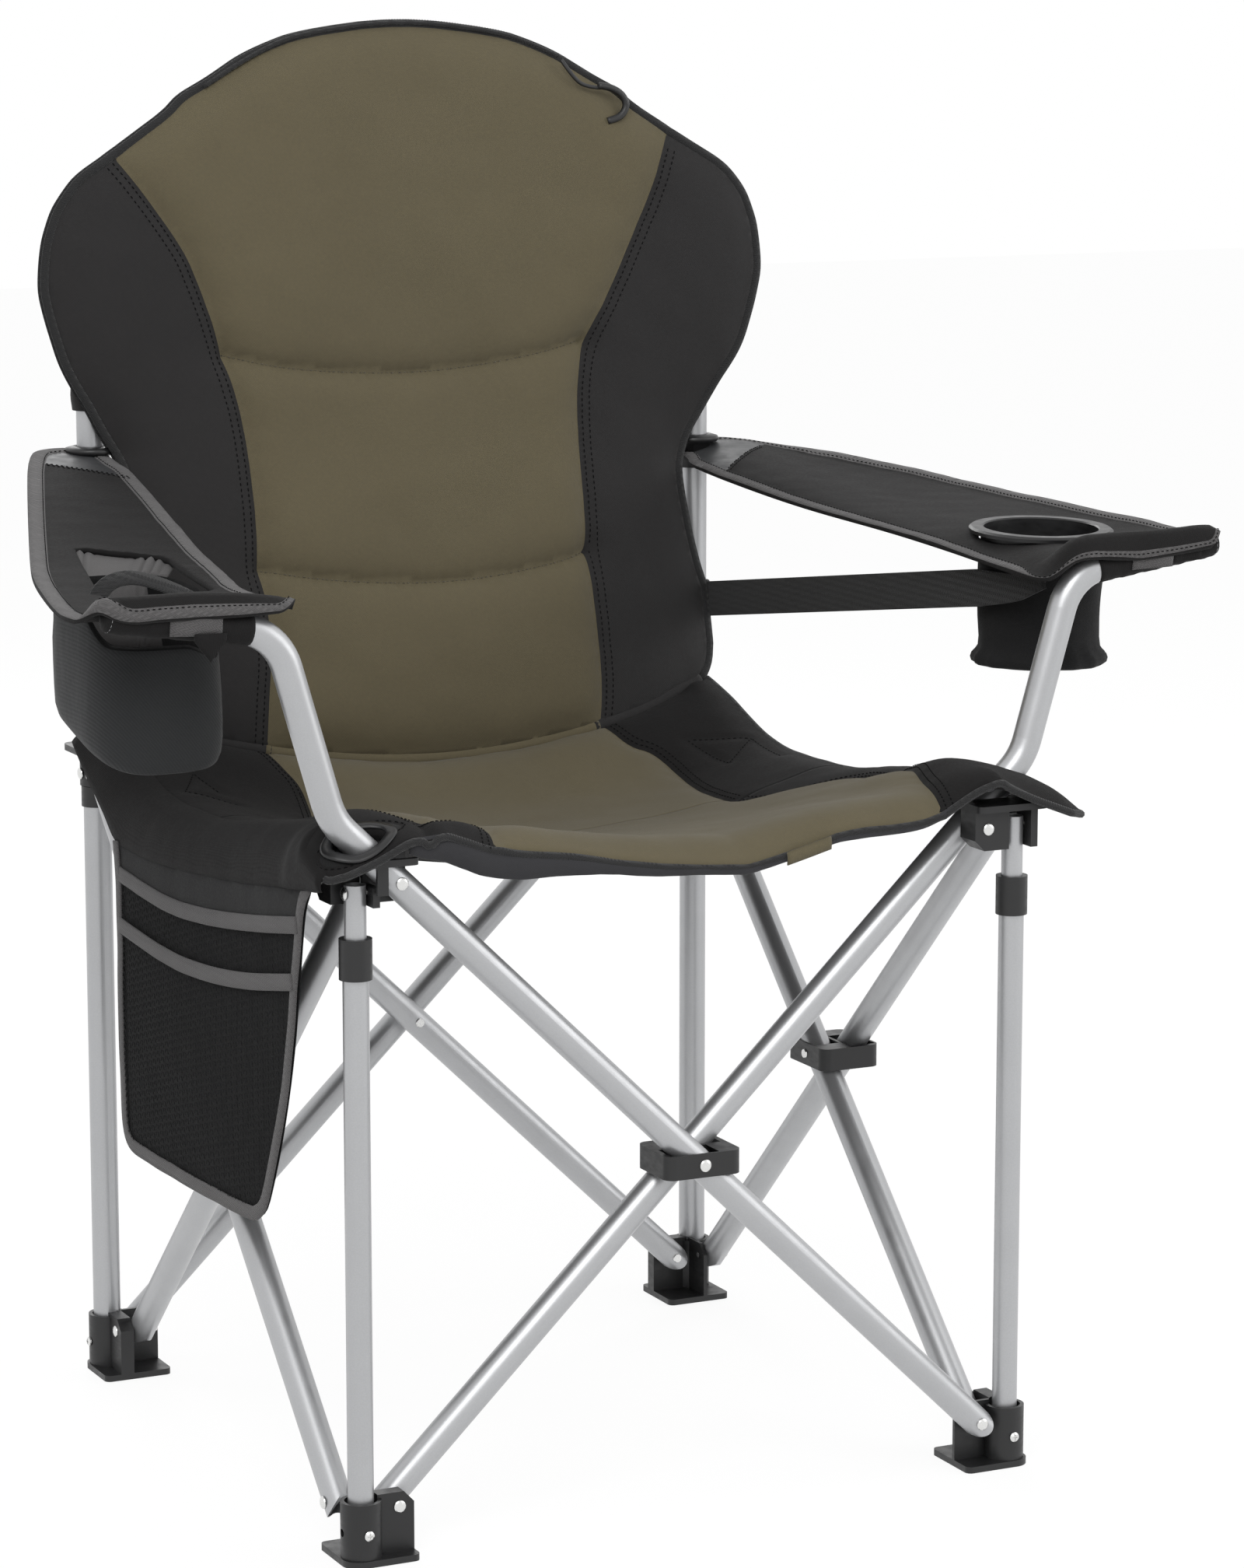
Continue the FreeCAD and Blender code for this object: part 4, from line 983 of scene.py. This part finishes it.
def bag_ring(t, grow, inset=0.0):
    """One level of the bag: t from the bottom (0) to the rim (1)."""
    cx, cy = (np.sign(f) * np.abs(f) ** CORNER for f in circle(1.0, BAG_N).T)
    lean = 1.0 - 0.07 * max(0.0, t - 0.25)
    x = BAG_C[0] + (BAG_H[0] * grow * lean - inset) * cx
    y = BAG_C[1] + (BAG_H[1] * grow - inset) * cy
    low = 571.5 + 0.26 * (y + 206) + 5.0 * ((x - BAG_C[0]) / 52.0) ** 4
    high = 690.5 + 0.045 * (y + 206) - smooth(-140, -190, y) * (27.0 + 10.0 * smooth(-368, -340, x))
    v = points(x, y, low + (high - low) * t + inset)
    across, deep = v[:, [0, 2]], v[:, [1, 1]]
    push = 2.4 * ripple(across + deep * 0.7, 55.0, 21.0) + ripple(across + deep, 20.0, 22.0)
    push = push * math.sin(math.pi * min(0.9, max(0.06, t)))
    v[:, :2] += unit(v[:, :2] - BAG_C) * push[:, None]
    return v


LEVELS = [(0.0, 0.80), (0.004, 0.88), (0.03, 0.945), (0.09, 0.975), (0.22, 0.99), (0.4, 1.0), (0.6, 1.0),
    (0.8, 0.995), (0.95, 0.99), (1.0, 0.985)]      # height share, width share
inner_levels = LEVELS[::-1][:-2] + [(0.02, 0.86)]
rows = [bag_ring(t, g) for t, g in LEVELS] + [bag_ring(t, g, BAG_WALL) for t, g in inner_levels]
faces = quads(len(rows), BAG_N) + caps(len(rows), BAG_N)
# the inner wall takes the near-black lining: painted shade inside the bag
idx = [0 if i < (len(LEVELS) - 1) * BAG_N else 1 for i in range((len(rows) - 1) * BAG_N)] + [0, 1]
on_rest[-1](make("cooler_bag_cloth", np.vstack(rows), faces, [bag_cloth, lining_painted_shade], idx), "black_fabric",
    ["cooler_bag"])

# ---- side pocket
POCKET_X, CELL, CORD, CORD_THICK, CORD_LAP = -300.0, 6.6, 0.55, 0.45, 0.3
PTOP = [(130, 465), (90, 463.5), (47, 464.5), (-25, 470), (-92, 476.5), (-150, 483), (-200, 490), (-251, 497),
    (-262, 499)]
PRIM = PTOP + [(-250, 488), (-243, 470), (-234, 425), (-222, 367), (-200, 305), (-172, 250), (-160, 238),
    (-140, 232), (90, 226), (112, 228), (122, 236), (125, 260)]


def on_pocket(uv):
    y, z = uv.T
    return points(POCKET_X - 4.0 * bell(y + 20, 120.0) * bell(z - 330, 90.0), y, z)


pocket_rim = rounded(PRIM, 4.0, True, 2)
pocket_line = looped(pocket_rim)
on_front = onto("fl_top", ((0, 1, 0), (-S * MM, -S * MM, 0.45)))
BANDS = [[(128, 440), (20, 434), (-72, 441), (-160, 453), (-242, 467)],
    [(127, 400), (20, 394), (-70, 398), (-150, 408), (-233, 424)]]
pocket_panel = Panel(on_pocket, -1, [pocket_line], 1.0, 6.0, (), lambda uv: 0.8 * ripple(uv, 40.0, 31.0))
backing = Panel(lambda uv: on_pocket(uv) + [2.2, 0, 0], -1, [pocket_line], 0.8, 6.0)
TOP_CLOTH = PTOP + [(-243, 467), (-160, 453), (-72, 441), (20, 434), (128, 440)]
ob = pocket_panel.build("pocket_top_cloth", TOP_CLOTH, [black_side], step=6.0, thick=1.5)
on_front(ob, "black_fabric", ["side_pocket"])
# the backing behind the net is near-black: painted shade inside the pocket
on_front(backing.build("pocket_back_cloth", offset(pocket_rim, -3.5 * way_in(pocket_rim), True), [lining_painted_shade],
    step=8.0, thick=1.2))


def tape(name, line, width, lift=0.8):
    p, n = pocket_panel.at(line, lift)
    on_front(sweep(name, p, band(width, 1.8, 0.6), grey_tape, n))


for i, line in enumerate(BANDS):
    tape("pocket_band_%d" % i, rounded(line, 4.0), 12.5)
tape("pocket_binding", rounded([PTOP[-1]] + PRIM[len(PTOP):] + [(127, 440), PTOP[0]], 4.0, False, 2), 11.0,
    0.4)

# net: hexagon cells as thin cords
NET_X, NET_Z, NET_W, NET_H = -250, 226, 385, 240
NET_RIM = [(124, 435), (20, 430), (-72, 437), (-238, 462), (-231, 425), (-219, 367), (-197, 305), (-170, 251),
    (-158, 241), (-140, 234), (90, 228), (112, 230), (120, 238), (124, 262)]
pitch, high, r = CELL * 1.5, CELL * 0.866, CELL / 2
segs = []
for j in range(int(NET_H / high) + 2):
    for i in range(int(NET_W / pitch) + 2):
        x0, z0 = NET_X + i * CELL * 1.5, NET_Z + j * high + (high / 2 if i % 2 else 0)
        corners = [(x0 + r * math.cos(math.radians(a)), z0 + r * math.sin(math.radians(a)))
            for a in (0, 60, 120, 180)]
        segs += list(zip(corners[:-1], corners[1:]))
segs = np.array(segs)
segs = segs[inside(segs.mean(1), NET_RIM)]
verts, faces = [], []
ends, normals = pocket_panel.at(segs[:, 0])
for a, b, n in zip(ends, pocket_panel.at(segs[:, 1])[0], normals):
    t = unit(b - a)
    side, front = np.cross(t, n) * CORD, n * CORD_THICK
    base = len(verts)
    for c in (a - t * CORD_LAP, b + t * CORD_LAP):
        verts += [c + side, c + front, c - side, c - front]
    faces += [tuple(base + q for q in f) for f in quads(2, 4) + caps(2, 4)]
on_front(make("pocket_net", verts, faces, [net_cord], recalc=False))

# skirt from the seat edge down to the pocket
SKIRT_Y, SKIRT_N, SKIRT_ROWS = (-291, 230), 88, 14
# its lower edge
FALL = [(232, 531), (193, 503.6), (175, 494.6), (140, 470)] + PTOP + [(-276, 500), (-291, 503)]
ys = np.linspace(*SKIRT_Y, SKIRT_N)
low_z = np.interp(ys, *zip(*FALL[::-1]))
# over the corner, and clear of the arm tube
turn, front_end = smooth(-205, -235, ys), smooth(-232, -256, ys)
x_edge = -262.0 - 36.0 * front_end
edge_z = seat.at(points(x_edge, ys), 0.4 * front_end - 0.6 * (1 - front_end))[0][:, 2]
knee_z = on_seat(points(np.minimum(x_edge - 2, -284.0), ys))[:, 2] + 3.0 - 3.0 * front_end
verts = []
for y, xe, ze, zk, zl, g, h in zip(ys, x_edge, edge_z, knee_z, low_z, turn, front_end):
    ctrl = np.array([(xe, ze), (-284 - 2 * g - 19 * h, zk + 2 * g), (-298 - 9 * g, zk - 8 + 3 * g),
        (-301.5 - 2.5 * g, zl - 2)])
    for t in np.linspace(0, 1, SKIRT_ROWS):
        u = 1 - t
        x, z = u**3 * ctrl[0] + 3 * t * u**2 * ctrl[1] + 3 * t**2 * u * ctrl[2] + t**3 * ctrl[3]
        wob = 0.8 * noise.noise(Vector((y / 30.0, z / 30.0, 41.0)))
        verts.append((x - wob, y, z))
top = np.array(verts)
on_front(make("side_skirt", np.vstack([top, top + [2.4, 0, -1.6]]), shell(SKIRT_N, SKIRT_ROWS), [black_seat]))

# ---- webbing strap on the right
STRAP_N, STRAP_W, STRAP_END, STRAP_Z = 120, 29.0, (310.5, -237.0), 604.8
run_y = np.linspace(S - 13.0, STRAP_END[1], STRAP_N)
rise = np.interp(run_y, [-237, -222, -205, -185, -150, 254], [675.5, 672, 667.5, 664.5, 661, STRAP_Z])
path = points(S + 3.0 + (STRAP_END[0] - S - 3.0) * (S - 13.0 - run_y) / (S + 224.0), run_y, rise)
for _ in range(12):
    path[1:-1, 2] = 0.25 * path[:-2, 2] + 0.5 * path[1:-1, 2] + 0.25 * path[2:, 2]
sec = []
for half_w in np.interp(run_y, [-237, -205, -150], [5.0, 10.0, STRAP_W / 2]):
    ribs = [(1.0 + 0.28 * math.cos(j * math.pi), half_w * (2 * j / 24 - 1)) for j in range(25)]
    sec.append(ribs + [(-u, -v) for u, v in ribs])
on_rest[1](sweep("arm_strap_web", path, sec, black_tape, (0, 0, 1)), "webbing", ["arm_strap"])
loop = points(*circle(12.9, 36, centre=(S, S)).T, STRAP_Z)
settle(sweep("arm_strap_loop", loop, band(1.8, STRAP_W, 0.5), black_tape, (0, 0, 1), True), "rr_top")
